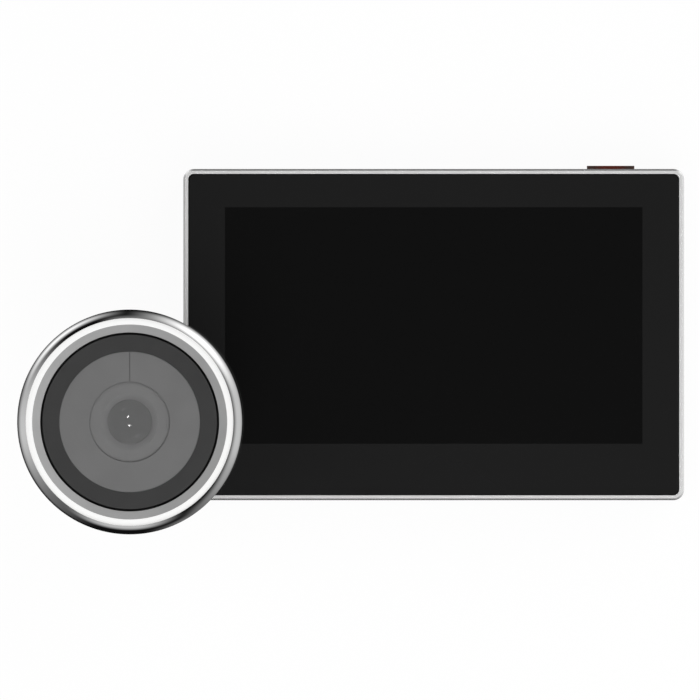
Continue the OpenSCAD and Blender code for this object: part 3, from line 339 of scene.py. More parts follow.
turned_rings, given, result = new_group("turned_rings", *PATTERN_SOCKETS)
part = add(turned_rings, "SeparateXYZ", [given["Vector"]]).outputs
radius = from_axis(turned_rings, given["Vector"])
height = calculate(turned_rings, "MULTIPLY", part["Z"], RING_RISE)
sweep = calculate(turned_rings, "ARCTAN2", part["Y"], part["X"])
sweep = calculate(turned_rings, "MULTIPLY", sweep, RING_SWEEP)
rings = add(turned_rings, "CombineXYZ", [radius, height, sweep]).outputs[0]
turned_rings.links.new(noise(turned_rings, rings, given["Size"], detail=2.0), result["Grain"])
turned_rings.links.new(broad(turned_rings, given["Vector"], given["Size"]), result["Mottle"])

hand_smudges, given, result = new_group("hand_smudges", *PATTERN_SOCKETS)
warp = add(hand_smudges, "TexNoise", {"Vector": given["Vector"], "Scale": WARP_SCALE}).outputs["Color"]
bent = scaled(hand_smudges, warp, WARP_REACH)
bent = add(hand_smudges, "VectorMath", [given["Vector"], bent], operation="ADD").outputs[0]
streaks = scaled(hand_smudges, bent, SMUDGE_STRETCH)
hand_smudges.links.new(noise(hand_smudges, streaks, given["Size"], detail=4.0), result["Grain"])
hand_smudges.links.new(broad(hand_smudges, bent, given["Size"]), result["Mottle"])
PATTERNS = moulded_grain, drawn_lines, turned_rings, hand_smudges
print("patterns:", ", ".join(group.name for group in PATTERNS))


# %% [markdown]
# A finish is one Principled shader fed by a pattern: the broad value drifts the colour between two near
# shades, and the fine value drifts the gloss between two roughnesses and raises a shallow bump. What is
# the same all over, such as how metallic it is, is set on the shader itself. Some finishes then take
# another colour where a mask says so, and the mask reads the same place as the pattern does.

# %% Finish from a pattern
def finish(name, pattern, size, dark, light, rough, bump=0.0, centre=(0, 0, 0), **plain):
    """A procedural material. Size is the grain's scale per metre, bump its depth in millimetres, and centre
    the pattern's place on the piece, in millimetres."""
    made = bpy.data.materials.new(name)
    made.use_nodes = True
    tree = made.node_tree
    surface = tree.nodes["Principled BSDF"]
    place = add(tree, "Mapping", {
        "Vector": add(tree, "TexCoord").outputs["Object"],
        "Location": [x * MM for x in centre],
    }, vector_type="TEXTURE").outputs[0]
    marks = add(tree, "Group", node_tree=pattern)
    marks.inputs["Size"].default_value = size
    tree.links.new(place, marks.inputs["Vector"])
    shade = mix_colour(tree, marks.outputs["Mottle"], (*dark, 1), (*light, 1))
    tree.links.new(shade, surface.inputs["Base Color"])
    gloss = add(tree, "MapRange", {
        "Value": marks.outputs["Grain"], "From Min": NOISE_LOW, "From Max": NOISE_HIGH,
        "To Min": rough[0], "To Max": rough[1],
    }).outputs[0]
    tree.links.new(gloss, surface.inputs["Roughness"])
    if bump:
        relief = add(tree, "Bump", {"Height": marks.outputs["Grain"], "Distance": bump * MM})
        tree.links.new(relief.outputs[0], surface.inputs["Normal"])
    for socket, value in plain.items():
        surface.inputs[socket.replace("_", " ")].default_value = value
    return made


def grey(level, warm=0.0):
    """A neutral colour, a little warmer or cooler."""
    return (level * (1 + warm), level, level * (1 - warm))


# %% Another colour under a mask
def pattern_place(made):
    """The place that a finish's pattern reads, split into X, Y and Z."""
    tree = made.node_tree
    return add(tree, "SeparateXYZ", [tree.nodes["Mapping"].outputs[0]]).outputs


def recolour(made, mask, colour):
    """Mix another colour into a finish, as far as a mask goes from 0 to 1."""
    tree = made.node_tree
    base = tree.nodes["Principled BSDF"].inputs["Base Color"]
    shade = mix_colour(tree, mask, base.links[0].from_socket, (*colour, 1))
    tree.links.new(shade, base)


# %% Finishes by slot
FINISHES = {}


def dress(slot, *recipe, **plain):
    """Make the finish of one of the record's material slots and keep it under that name."""
    FINISHES[slot] = finish("finish_" + slot, *recipe, **plain)
    return FINISHES[slot]


# %% [markdown]
# ## Metals of the head and the frame
# The outer ring is chrome: chromium sends back a little over half of the light, which is why its bright
# places are no brighter than white paint. The cone inside the lit ring is turned on a lathe and lacquered
# to a satin grey. The screen's frame is blasted and anodised aluminium, whose clear oxide layer scatters
# light like a pale paint. So both of these are only partly metallic here.

# %% Metal finishes
def extent(node):
    """Lowest and highest corner of a CAD node's box, in millimetres."""
    return [np.array(corner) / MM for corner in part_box(node)]


def middle(node):
    """Middle of a CAD node's box, in millimetres."""
    low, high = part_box(node)
    return (np.array(low) + np.array(high)) / (2 * MM)


head_axis = middle("chrome_bezel")
dress("chrome", turned_rings, 2600, grey(0.545), grey(0.565), (0.025, 0.06), 0.0002, head_axis,
      Metallic=1.0)
dress("satin_metal", turned_rings, 5200, grey(0.35), grey(0.38), (0.5, 0.62), 0.002, head_axis,
      Metallic=0.1)
frame_metal = dress(
    "frame_metal", moulded_grain, 9000, grey(0.76, 0.004), grey(0.78, 0.002), (0.34, 0.4), 0.0006)
dress("barrel_metal", turned_rings, 4200, grey(0.50), grey(0.60), (0.22, 0.36), 0.002, head_axis,
      Metallic=1.0)
dress("nut_metal", turned_rings, 3600, grey(0.58, 0.01), grey(0.66, 0.01), (0.16, 0.3), 0.002, head_axis,
      Metallic=1.0)
dress("bracket_steel", moulded_grain, 2400, grey(0.56, -0.01), grey(0.64, -0.01), (0.42, 0.58), 0.02,
      Metallic=0.2)
dress("screw_steel", turned_rings, 5000, grey(0.46), grey(0.55, 0.02), (0.25, 0.42), 0.002, Metallic=1.0)
dress("port_steel", drawn_lines, 5000, grey(0.60), grey(0.70), (0.2, 0.36), 0.001, Metallic=1.0)
dress("spring_steel", drawn_lines, 6000, grey(0.55), grey(0.66), (0.22, 0.35), 0.001, Metallic=1.0)
dress("battery_foil", hand_smudges, 900, grey(0.62), grey(0.74), (0.28, 0.5), 0.02, Metallic=0.8)
print("metals:", ", ".join(FINISHES))

# %% [markdown]
# The frame's outer edge is cut back to a bright bevel after anodising, so bare metal shows there: it
# mirrors the dark places of the studio as a grey line around the rim. Nothing else of the frame shows
# between the heights of its bevel, so a mask on the height finds it.

# %% Bright bevel of the frame
RIM_BEVEL, HAIR = 0.3, 0.001
BARE_SHADE, BARE_ROUGH = 0.8, 0.2
ANODISED_METALLIC, BARE_METALLIC = 0.3, 0.8
rim_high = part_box("front_frame")[1].z
tree = frame_metal.node_tree
surface = tree.nodes["Principled BSDF"]
up = pattern_place(frame_metal)["Z"]
above_wall = calculate(tree, "GREATER_THAN", up, rim_high - RIM_BEVEL * MM)
below_rim = calculate(tree, "LESS_THAN", up, rim_high - HAIR * MM)
bare_or_gap_shade = calculate(tree, "MULTIPLY", above_wall, below_rim)
recolour(frame_metal, bare_or_gap_shade, grey(BARE_SHADE))
blasted = surface.inputs["Roughness"].links[0].from_socket
gloss = add(tree, "Mix", {"Factor": bare_or_gap_shade, "A": blasted, "B": BARE_ROUGH}).outputs[0]
tree.links.new(gloss, surface.inputs["Roughness"])
metal_share = add(tree, "MapRange", {
    "Value": bare_or_gap_shade, "To Min": ANODISED_METALLIC, "To Max": BARE_METALLIC,
}).outputs[0]
tree.links.new(metal_share, surface.inputs["Metallic"])
print("bevel from", round(rim_high / MM - RIM_BEVEL, 2), "mm up")

# %% [markdown]
# ## Plastics, rubbers and boards
# The back shell is a matt moulded plastic with a fine grain, the bell ring is satin black, and the disc
# about the lens is a plain grey. The pieces that stay inside get their own finishes as well, because a
# part of the library may be opened up: solder mask, moulded chips, connectors, amber film and foam.

# %% Plastic and rubber finishes
dress("cover_plastic", moulded_grain, 2600, grey(0.045), grey(0.058), (0.5, 0.66), 0.02)
bell_black = dress(
    "bell_black", moulded_grain, 5200, grey(0.030), grey(0.034), (0.36, 0.5), 0.002, head_axis)
dress("surround_grey", moulded_grain, 4200, grey(0.134), grey(0.146), (0.46, 0.6), 0.004, head_axis)
# Partly painted light: the opal ring's emission stands for its LEDs and also washes out the shade of the
# chrome wall beside it.
dress("opal_light", moulded_grain, 900, grey(0.34), grey(0.36), (0.3, 0.42), 0.0, head_axis,
      Emission_Color=(1, 1, 0.99, 1), Emission_Strength=0.6)
dress("gasket_rubber", moulded_grain, 2000, grey(0.032), grey(0.05), (0.6, 0.8), 0.03)
dress("pad_rubber", moulded_grain, 2400, grey(0.03), grey(0.045), (0.6, 0.8), 0.03)
# Partly painted shade: the foam is real, but it is coloured near black, darker than real foam, so the gap
# about the front glass shows black.
dress("black_foam", moulded_grain, 1500, grey(0.003), grey(0.005), (0.8, 0.95), 0.06,
      Specular_IOR_Level=0.1)
dress("washer_nylon", moulded_grain, 1400, grey(0.74, 0.02), grey(0.82, 0.01), (0.35, 0.5), 0.01)
dress("carrier_plastic", moulded_grain, 2200, grey(0.19), grey(0.24), (0.45, 0.6), 0.02)
dress("black_plastic", moulded_grain, 2600, grey(0.05), grey(0.07), (0.4, 0.55), 0.02)
dress("white_plastic", moulded_grain, 2600, grey(0.76), grey(0.84), (0.35, 0.5), 0.01)
dress("socket_ivory", moulded_grain, 2600, grey(0.72, 0.05), grey(0.80, 0.04), (0.4, 0.55), 0.01)
dress("chip_black", moulded_grain, 3200, grey(0.05), grey(0.075), (0.45, 0.65), 0.02)
dress("circuit_board", moulded_grain, 1200, (0.03, 0.16, 0.09), (0.05, 0.23, 0.12), (0.25, 0.4), 0.01)
dress("flex_film", drawn_lines, 1200, (0.62, 0.33, 0.07), (0.76, 0.43, 0.11), (0.25, 0.4), 0.005)
dress("tape", drawn_lines, 900, (0.80, 0.75, 0.52), (0.88, 0.83, 0.6), (0.35, 0.5), 0.01)
dress("red_lead", drawn_lines, 1500, (0.55, 0.05, 0.04), (0.7, 0.08, 0.06), (0.4, 0.55), 0.01)
dress("black_lead", drawn_lines, 1500, grey(0.05), grey(0.08), (0.4, 0.55), 0.01)
dress("panel", hand_smudges, 500, grey(0.005), grey(0.008), (0.12, 0.25), 0.001)
dress("sensor", drawn_lines, 20000, (0.07, 0.09, 0.15), (0.12, 0.15, 0.22), (0.08, 0.16), 0.0005)
dress("led", moulded_grain, 1500, grey(0.82, 0.05), grey(0.9, 0.04), (0.15, 0.3), 0.003)
print("all finishes so far:", len(FINISHES))

# %% [markdown]
# Below a depth from its top, the bell ring's colour turns to painted shade: near black, it makes the gap
# about the ring show as a black line. A mask on the height above the head's middle finds it.

# %% Painted shade on the bell ring's lip
GAP_SHADE_DEPTH = 1.6
LIP_SHADE = 0.003
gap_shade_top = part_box("bell_ring")[1].z - GAP_SHADE_DEPTH * MM - head_axis[2] * MM
bare_or_gap_shade = calculate(bell_black.node_tree, "LESS_THAN", pattern_place(bell_black)["Z"], gap_shade_top)
# Painted shade: the lip below this height is coloured near black, so the gap about the bell ring looks
# dark.
recolour(bell_black, bare_or_gap_shade, grey(LIP_SHADE))
print("paint ends", round(gap_shade_top / MM, 2), "mm above the head's middle")

# %% [markdown]
# ## Glass
# The front glass is black from behind: a printed border, and inside it the switched-off picture, which is
# a little darker and has crisp edges. It could be clear glass over a modelled panel, but printed glass
# looks the same and renders without noise. A mask on the glass's own coordinates draws the picture, and
# soft smudges change the gloss.

# %% Front glass with its dark picture
PICTURE = 95.04, 53.86
PICTURE_RISE, PICTURE_SHADE = 2.07, 0.0054
glass_middle = middle("cover_glass")
picture_middle = glass_middle + (0, PICTURE_RISE, 0)
front_glass = dress(
    "front_glass", hand_smudges, 260, grey(0.0132), grey(0.0140), (0.012, 0.03), 0.0, picture_middle,
    IOR=1.5)
tree = front_glass.node_tree
place = pattern_place(front_glass)
within = [
    calculate(tree, "LESS_THAN", calculate(tree, "ABSOLUTE", place[axis]), size / 2 * MM)
    for axis, size in zip(("X", "Y"), PICTURE)
]
recolour(front_glass, calculate(tree, "MULTIPLY", *within), grey(PICTURE_SHADE))
print("picture:", PICTURE, "mm")

# %% [markdown]
# The lens window is clear, so a shader that lets light through is right. What the camera sees goes
# through it as through real glass. Light on its way to or from the parts below passes straight, or they
# would stay dark: that is a mix with a Transparent shader for shadow, glossy and diffuse rays. The lens
# below has a grey coating that hides its inside, as in the photograph.

# %% Window and lens
window_clear = dress(
    "window_clear", hand_smudges, 700, grey(0.96), grey(0.98), (0.0, 0.004), 0.0, head_axis,
    IOR=1.49, Transmission_Weight=1.0)
tree = window_clear.node_tree
rays = add(tree, "LightPath").outputs
straight = calculate(tree, "MAXIMUM", rays["Is Shadow Ray"], rays["Is Glossy Ray"])
straight = calculate(tree, "MAXIMUM", straight, rays["Is Diffuse Ray"])
clear = add(tree, "BsdfTransparent").outputs[0]
through = add(tree, "MixShader", [straight, tree.nodes["Principled BSDF"].outputs[0], clear]).outputs[0]
tree.links.new(through, tree.nodes["Material Output"].inputs["Surface"])
dress("lens_glass", turned_rings, 1500, grey(0.129), grey(0.133), (0.0, 0.012), 0.0, head_axis,
      Specular_IOR_Level=1.0)
print("glass finishes ready")

# %% [markdown]
# The baffle that holds the lens is painted grey. Towards the lens the grey darkens as painted shade,
# standing for the shadow that the lens's edge casts on it, and the distance from the head's axis gives the
# mask.

# %% Baffle paint with painted shade by the lens
SEAT_R, SHADOW_END_R = 5.05, 6.6
LENS_SHADOW_SHADE = 0.138
baffle_grey = finish(
    "baffle_grey", turned_rings, 3000, grey(0.158), grey(0.164), (0.5, 0.65), 0.001, head_axis)
tree = baffle_grey.node_tree
out = from_axis(tree, tree.nodes["Mapping"].outputs[0])
lens_shadow = smooth(tree, out, SHADOW_END_R * MM, SEAT_R * MM)
# Painted shade: the grey darkens towards the lens, for the shadow of the lens's edge on the baffle.
recolour(baffle_grey, lens_shadow, grey(LENS_SHADOW_SHADE))
print("deeper grey within", SHADOW_END_R, "mm of the axis")

# %% [markdown]
# The button is a dark bronze lacquer, and its colour runs from a grey brown at the ends to a red brown in
# the middle.

# %% Bronze lacquer
BUTTON_WARM, BUTTON_REDDEST = 4.2, 1.4
RED_BROWN = 0.112, 0.012, 0.003
button_middle = middle("view_button")
bronze = dress(
    "bronze_button", drawn_lines, 3000, (0.058, 0.028, 0.021), (0.068, 0.032, 0.024), (0.4, 0.5), 0.001,
    button_middle, Specular_IOR_Level=0.25)
tree = bronze.node_tree
out = calculate(tree, "ABSOLUTE", pattern_place(bronze)["X"])
redder_middle = smooth(tree, out, BUTTON_WARM * MM, BUTTON_REDDEST * MM)
recolour(bronze, redder_middle, RED_BROWN)
print("redder brown within", BUTTON_WARM, "mm of the button's middle")

# %% [markdown]
# Every CAD node now takes the finish of its slot. Its mesh stays as packed: the CAD shapes are right, and
# they come with the true normals of their curves. The next cells replace only what a finer surface
# improves.

# %% Dress the CAD nodes
for node in frame["nodes"].values():
    node.data.materials[0] = FINISHES[node.data.materials[0].name]
print("dressed", len(frame["nodes"]), "CAD nodes")

# %% [markdown]
# ## Surfaces from arrays
# The new pieces are grids of points that numpy works out at once: a section carried round an axis, or an
# edge carried round a rounded rectangle. Corners get a small round first, because every real edge has one
# and it is what catches the light. The shading normals are averaged by the area of the faces, which keeps
# flats flat right up to such an edge. All sizes from here on are in millimetres.

# %% Sections with eased corners
SOFT, EASE, FINE, SHARP = 0.15, 0.1, 0.03, 0.01  # usual rounds of corners
CORNER_STEPS = 6
TOUCHING = 1e-6


def eased(corners, steps=CORNER_STEPS):
    """A closed outline with its corners rounded. Each corner is (across, up, ease), and its round runs from
    one side to the other as a rational quadratic curve, which is a true arc of radius ease."""
    corners = np.asarray(corners, float)
    point, ease = corners[:, :2], corners[:, 2:]
    back = np.roll(point, 1, axis=0) - point
    ahead = np.roll(point, -1, axis=0) - point
    back /= np.linalg.norm(back, axis=1, keepdims=True)
    ahead /= np.linalg.norm(ahead, axis=1, keepdims=True)
    half = np.arccos(np.clip(np.sum(back * ahead, axis=1, keepdims=True), -1, 1)) / 2
    reach = ease / np.tan(half)
    t = np.linspace(0, 1, steps)[None, :, None]
    first, last = (1 - t) ** 2, t ** 2
    centre = 2 * t * (1 - t) * np.sin(half)[:, :, None]
    start, end = (point + back * reach)[:, None], (point + ahead * reach)[:, None]
    curve = (first * start + centre * point[:, None] + last * end) / (first + centre + last)
    curve = curve.reshape(-1, 2)
    return curve[np.linalg.norm(curve - np.roll(curve, 1, axis=0), axis=1) > TOUCHING]


# %% Rings about an axis
def grid_quads(rows, columns, closed=True):
    """Quads of a grid whose columns close on themselves, and whose rows do too if closed."""
    row, column = np.meshgrid(np.arange(rows if closed else rows - 1), np.arange(columns), indexing="ij")
    above, beside = (row + 1) % rows, (column + 1) % columns
    corners = (
        row * columns + column, row * columns + beside,
        above * columns + beside, above * columns + column,
    )
    return np.stack(corners, axis=-1).reshape(-1, 4)


def round_axis(across, up, axis, steps):
    """Points of a section at every angle: axis + (across cos a, across sin a, up). Across may be one value
    per point of the section, or one per point and angle."""
    angle = np.linspace(0, 2 * np.pi, steps, endpoint=False)
    across = across[:, None] if across.ndim == 1 else across
    grid = np.broadcast_arrays(across * np.cos(angle), across * np.sin(angle), up[:, None])
    return (np.stack(grid, axis=-1) + axis).reshape(-1, 3)


def turned(section, axis, steps=288):
    """A ring: a closed section carried right round an upright axis."""
    return round_axis(section[:, 0], section[:, 1], axis, steps), [grid_quads(len(section), steps)]


# %% Solids with closed ends
def capped(points, steps, ends):
    """Rings of as many points as steps, one after the other, each end closed by a fan to a single point."""
    first, count = np.arange(steps), len(points)
    after, last = np.roll(first, -1), count - steps
    under = np.stack([np.full(steps, count), after, first], axis=-1)
    over = np.stack([last + first, last + after, np.full(steps, count + 1)], axis=-1)
    return np.vstack([points, ends]), [grid_quads(count // steps, steps, closed=False), under, over]


def domed(section, axis, steps):
    """A solid of revolution: a section that starts and ends on the axis, with one point at each end."""
    poles = axis + np.array([[0, 0, section[0, 1]], [0, 0, section[-1, 1]]])
    return capped(round_axis(section[1:-1, 0], section[1:-1, 1], axis, steps), steps, poles)


def plate(width, depth, corner, low, high, ease, steps):
    """A bar about the origin: an edge that rounds from below to above, carried round a rounded rectangle,
    with a flat face below and above. A point is the corner's centre + (corner - inset)(cos a, sin a)."""
    t = np.radians(np.linspace(0, 90, CORNER_STEPS))
    inset = ease * np.concatenate([1 - np.sin(t), 1 - np.cos(t)])[:, None]
    up = np.concatenate([low + ease * (1 - np.cos(t)), high - ease + ease * np.sin(t)])[:, None]
    quarter = np.arange(4).repeat(steps)
    angle = quarter * np.pi / 2 + np.tile(np.linspace(0, np.pi / 2, steps), 4)
    side_x, side_y = np.array([1, -1, -1, 1])[quarter], np.array([1, 1, -1, -1])[quarter]
    x = side_x * (width / 2 - corner) + (corner - inset) * np.cos(angle)
    y = side_y * (depth / 2 - corner) + (corner - inset) * np.sin(angle)
    points = np.stack(np.broadcast_arrays(x, y, up), axis=-1).reshape(-1, 3)
    rows, loop = len(up), np.arange(4 * steps)
    bottom, top = loop[None, ::-1], (rows - 1) * 4 * steps + loop[None]
    return points, [grid_quads(rows, 4 * steps, closed=False), bottom, top]


def together(shapes):
    """Several shapes as one, with their face numbers moved on."""
    starts = np.cumsum([0] + [len(points) for points, _ in shapes])
    blocks = [block + start for (_, made), start in zip(shapes, starts) for block in made]
    return np.vstack([points for points, _ in shapes]), blocks


# %% Skin a grid and put it in place
def area_normals(points, blocks):
    """Normal of each point: the sum of the area vectors of its faces, each of which is half the sum of the
    cross products of its corners."""
    total = np.zeros_like(points)
    for block in blocks:
        corner = points[block] - points[block][:, :1]
        area = np.cross(corner, np.roll(corner, -1, axis=1)).sum(axis=1) / 2
        np.add.at(total, block, area[:, None])
    return total / np.linalg.norm(total, axis=1, keepdims=True)


def skin(name, shape, node, replace=True, material=None, across=None):
    """Make a mesh piece from a shape in millimetres. It takes its slot from a CAD node, and its body too
    unless across is given, and stands for that node unless it is an addition to it. The two bodies and two
    points in across are not used: such a piece stays fixed where it is made."""
    points, blocks = shape
    mesh = bpy.data.meshes.new(name)
    mesh.from_pydata((points * MM).tolist(), [], [face for block in blocks for face in block.tolist()])
    mesh.shade_smooth()
    mesh.normals_split_custom_set_from_vertices(area_normals(points, blocks).tolist())
    cad = frame["nodes"][node]
    slot = cad.data.materials[0].name.removeprefix("finish_")
    mesh.materials.append(material or FINISHES[slot])
    piece = bpy.data.objects.new(name, mesh)
    scene.collection.objects.link(piece)
    if across:
        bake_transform(piece)
    else:
        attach(piece, cad["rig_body"])
    if replace:
        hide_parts(node)
    print(name, "stands for" if replace else "adds to", node, "-", len(points), "points")


# %% [markdown]
# ## Chrome ring
# The bright ring falls away outwards in a shallow curve, and its inner edge is its highest line. That
# follows from the photograph: along any one direction from the middle, the ring shows a whole run of the
# studio, from high up at its inner edge to near the horizon at its outer edge. A face whose slope runs
# from 10 to 44 degrees does just that. A half-round would show the white floor along its rim instead.
# Heights in the head are taken from the foot of its door seal.

# %% Chrome ring
RIM_IN, RIM_WALL, SHOULDER = 23.4, 24.25, 9.6
FACE_FROM, FACE_TO, FACE_STEPS = 46, 80, 34
CRISP = 0.002
low, high = extent("chrome_bezel")
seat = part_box("door_gasket")[0].z / MM
head = np.array([head_axis[0], head_axis[1], seat])
rim_r = (high[0] - low[0]) / 2
rim_foot, rim_top = low[2] - seat, high[2] - seat
upward = np.radians(np.linspace(FACE_FROM, FACE_TO, FACE_STEPS))
face_r = (rim_r - RIM_IN) / (np.cos(upward[0]) - np.cos(upward[-1]))
face = face_r * np.stack([np.cos(upward), np.sin(upward), 0 * upward], axis=-1)
face += (RIM_IN, rim_top, 0) - face[-1]
face[[0, -1], 2] = CRISP
rim_section = eased(np.vstack([
    [(RIM_WALL, rim_foot, SOFT), (rim_r, rim_foot, 2 * SOFT)],
    face,
    [(RIM_IN, SHOULDER, EASE), (RIM_WALL, SHOULDER, EASE)],
]))
skin("chrome_ring", turned(rim_section, head, steps=360), "chrome_bezel")

# %% [markdown]
# ## Lit ring and satin cone
# Inside the chrome lies an opal light guide with a slightly crowned top, lit from below by LEDs. Its glow
# is emission, and it is set strong enough to wash out the shade that the chrome's wall casts on it, so it
# is partly painted light. Next comes a satin cone that leads down to the bell ring. Both are sections
# turned about the head's axis.

# %% Lit ring
GUIDE_IN, GUIDE_OUT, GUIDE_FOOT, GUIDE_WALL, GUIDE_TOP = 22.0, 23.37, 8.4, 14.35, 14.4
HEM_IN, HEM_OUT = 21.2, 24.2
CROWN_INSET, CROWN_SAG, CROWN_STEPS = 0.04, 0.03, 9
across = np.linspace(GUIDE_OUT - CROWN_INSET, GUIDE_IN + CROWN_INSET, CROWN_STEPS)
from_middle = np.linspace(1, -1, CROWN_STEPS)
crown = np.stack([across, GUIDE_TOP - CROWN_SAG * from_middle ** 2, 0 * across], axis=-1)
guide_section = eased(np.vstack([
    [(HEM_IN, GUIDE_FOOT, EASE), (HEM_OUT, GUIDE_FOOT, EASE), (HEM_OUT, SHOULDER, EASE)],
    [(GUIDE_OUT, SHOULDER, EASE), (GUIDE_OUT, GUIDE_WALL, SHARP)],
    crown,
    [(GUIDE_IN, GUIDE_WALL, SHARP), (GUIDE_IN, SHOULDER, EASE), (HEM_IN, SHOULDER, EASE)],
]))
skin("light_guide", turned(guide_section, head), "light_ring")

# %% Satin cone
CONE_IN, CONE_OUT, CONE_FOOT_IN = 20.18, 21.97, 21.08
CONE_UNDER, CONE_LOW, CONE_HIGH = 10.9, 13.3, 14.3
cone_section = eased([
    (CONE_FOOT_IN, SHOULDER, EASE), (CONE_OUT, SHOULDER, EASE), (CONE_OUT, CONE_HIGH, FINE),
    (CONE_IN, CONE_LOW, FINE), (CONE_IN, CONE_UNDER, EASE), (CONE_FOOT_IN, CONE_UNDER, EASE),
])
skin("satin_cone", turned(cone_section, head), "inner_bezel")

# %% [markdown]
# ## Bell ring
# The dark ring is the push of the doorbell: a visitor presses it anywhere and it sinks 0.6 mm. It has an
# eased edge on both sides, a lip below that keeps it in, three pins over the switches and three posts for
# springs.

# %% Bell ring with pins and spring posts
BELL_IN, BELL_OUT, BELL_UNDER, BELL_TOP = 15.92, 19.68, 11.6, 13.2
BELL_EASE_IN, BELL_EASE_OUT = 0.04, 0.12
LIP_IN, LIP_OUT, LIP_FOOT, LIP_TOP = 18.58, 20.88, 9.85, 10.75
PIN_CIRCLE, PIN_TURNS, SPRING_TURNS = 17.43, (90, 210, 330), (30, 150, 270)
PIN_R, PIN_FOOT = 1.1, 9.45
POST_R, POST_FOOT = 0.6, 10.0
PEG_SUNK = 0.02
bell_section = eased([
    (BELL_IN, BELL_UNDER, EASE), (LIP_IN, BELL_UNDER, EASE), (LIP_IN, LIP_FOOT, EASE),
    (LIP_OUT, LIP_FOOT, SOFT), (LIP_OUT, LIP_TOP, SOFT), (BELL_OUT, LIP_TOP, EASE),
    (BELL_OUT, BELL_TOP, BELL_EASE_OUT), (BELL_IN, BELL_TOP, BELL_EASE_IN),
])


def on_circle(turn):
    """Where a pin or a spring stands: the head's axis + PIN_CIRCLE (cos turn, sin turn)."""
    angle = np.radians(turn)
    return head + PIN_CIRCLE * np.array([np.cos(angle), np.sin(angle), 0])


def peg(turn, radius, bottom):
    """An upright pin with an eased lower end, sunk a little into the ring above it."""
    top = BELL_UNDER + PEG_SUNK
    outline = eased([(0, bottom, 0), (radius, bottom, SOFT), (radius, top, EASE / 2), (0, top, 0)], steps=4)
    return domed(outline, on_circle(turn), steps=32)


pins = [peg(turn, PIN_R, PIN_FOOT) for turn in PIN_TURNS]
posts = [peg(turn, POST_R, POST_FOOT) for turn in SPRING_TURNS]
skin("bell_push", together([turned(bell_section, head), *pins, *posts]), "bell_ring")

# %% [markdown]
# ## Return springs
# Three coil springs under the bell ring push it back up. Each stands on the camera's board and carries the
# ring.

# %% Return springs
low, high = extent("bell_springs")
COIL_R, WIRE_R, COIL_TURNS = 0.95, 0.15, 4
WIRE_SIDES, TURN_STEPS = 12, 40


def coil(turn):
    """A spring: a circle of radius WIRE_R carried along the helix (COIL_R cos a, COIL_R sin a, rise a), in
    the plane of its outward direction and one square to its path."""
    a = np.linspace(0, 2 * np.pi * COIL_TURNS, COIL_TURNS * TURN_STEPS + 1)[:, None]
    rise = (high[2] - low[2] - 2 * WIRE_R) / a[-1]
    outward = np.hstack([np.cos(a), np.sin(a), 0 * a])
    ahead = np.hstack([-COIL_R * np.sin(a), COIL_R * np.cos(a), rise + 0 * a])
    square = np.cross(ahead / np.linalg.norm(ahead, axis=1, keepdims=True), outward)
    climb = np.hstack([0 * a, 0 * a, low[2] + WIRE_R + rise * a])
    path = COIL_R * outward + on_circle(turn) * (1, 1, 0) + climb
    about = np.linspace(0, 2 * np.pi, WIRE_SIDES, endpoint=False)[:, None]
    rings = path[:, None] + WIRE_R * (np.cos(about) * outward[:, None] + np.sin(about) * square[:, None])
    return capped(rings.reshape(-1, 3), WIRE_SIDES, path[[0, -1]])


springs = together([coil(turn) for turn in SPRING_TURNS])
spring_foot, spring_top = head * (MM, MM, 0), head * (MM, MM, 0)
spring_foot[2], spring_top[2] = (low[2] + 2 * WIRE_R) * MM, (high[2] - 2 * WIRE_R) * MM
skin("return_springs", springs, "bell_springs",
     across=("camera_unit", "bell_button", spring_foot, spring_top))

# %% [markdown]
# ## Window, lens and baffle
# Under a flat clear window with an eased edge sits a small domed lens. The grey baffle about it is dished
# down to the lens, so that the lens's edge shows no dark gap, and a thin brim of it fills the view under
# the window's edge.

# %% Window
WINDOW_R, WINDOW_FOOT, WINDOW_TOP = 9.04, 12.58, 13.06
window_section = eased([
    (0, WINDOW_FOOT, 0), (WINDOW_R, WINDOW_FOOT, FINE), (WINDOW_R, WINDOW_TOP, FINE), (0, WINDOW_TOP, 0),
])
skin("clear_window", domed(window_section, head, steps=240), "lens_window")

# %% Lens
LENS_R, LENS_FOOT, LENS_EDGE, LENS_RISE = 5.04, 11.45, 12.28, 0.25
LENS_CHAMFER = 0.14, 0.1
EDGE_GAP, LENS_STEPS = 0.02, 40
curve_r = (LENS_R ** 2 + LENS_RISE ** 2) / (2 * LENS_RISE)
across = np.linspace(LENS_R - FINE, 0, LENS_STEPS)
sag = LENS_EDGE + LENS_RISE - curve_r + np.sqrt(curve_r ** 2 - across ** 2)
lens_section = np.vstack([
    [(0, LENS_FOOT), (LENS_R - LENS_CHAMFER[0], LENS_FOOT), (LENS_R, LENS_FOOT + LENS_CHAMFER[1])],
    [(LENS_R, LENS_EDGE - EDGE_GAP)],
    np.stack([across, sag], axis=-1),
])
skin("front_lens", domed(lens_section, head, steps=192), "lens_element")

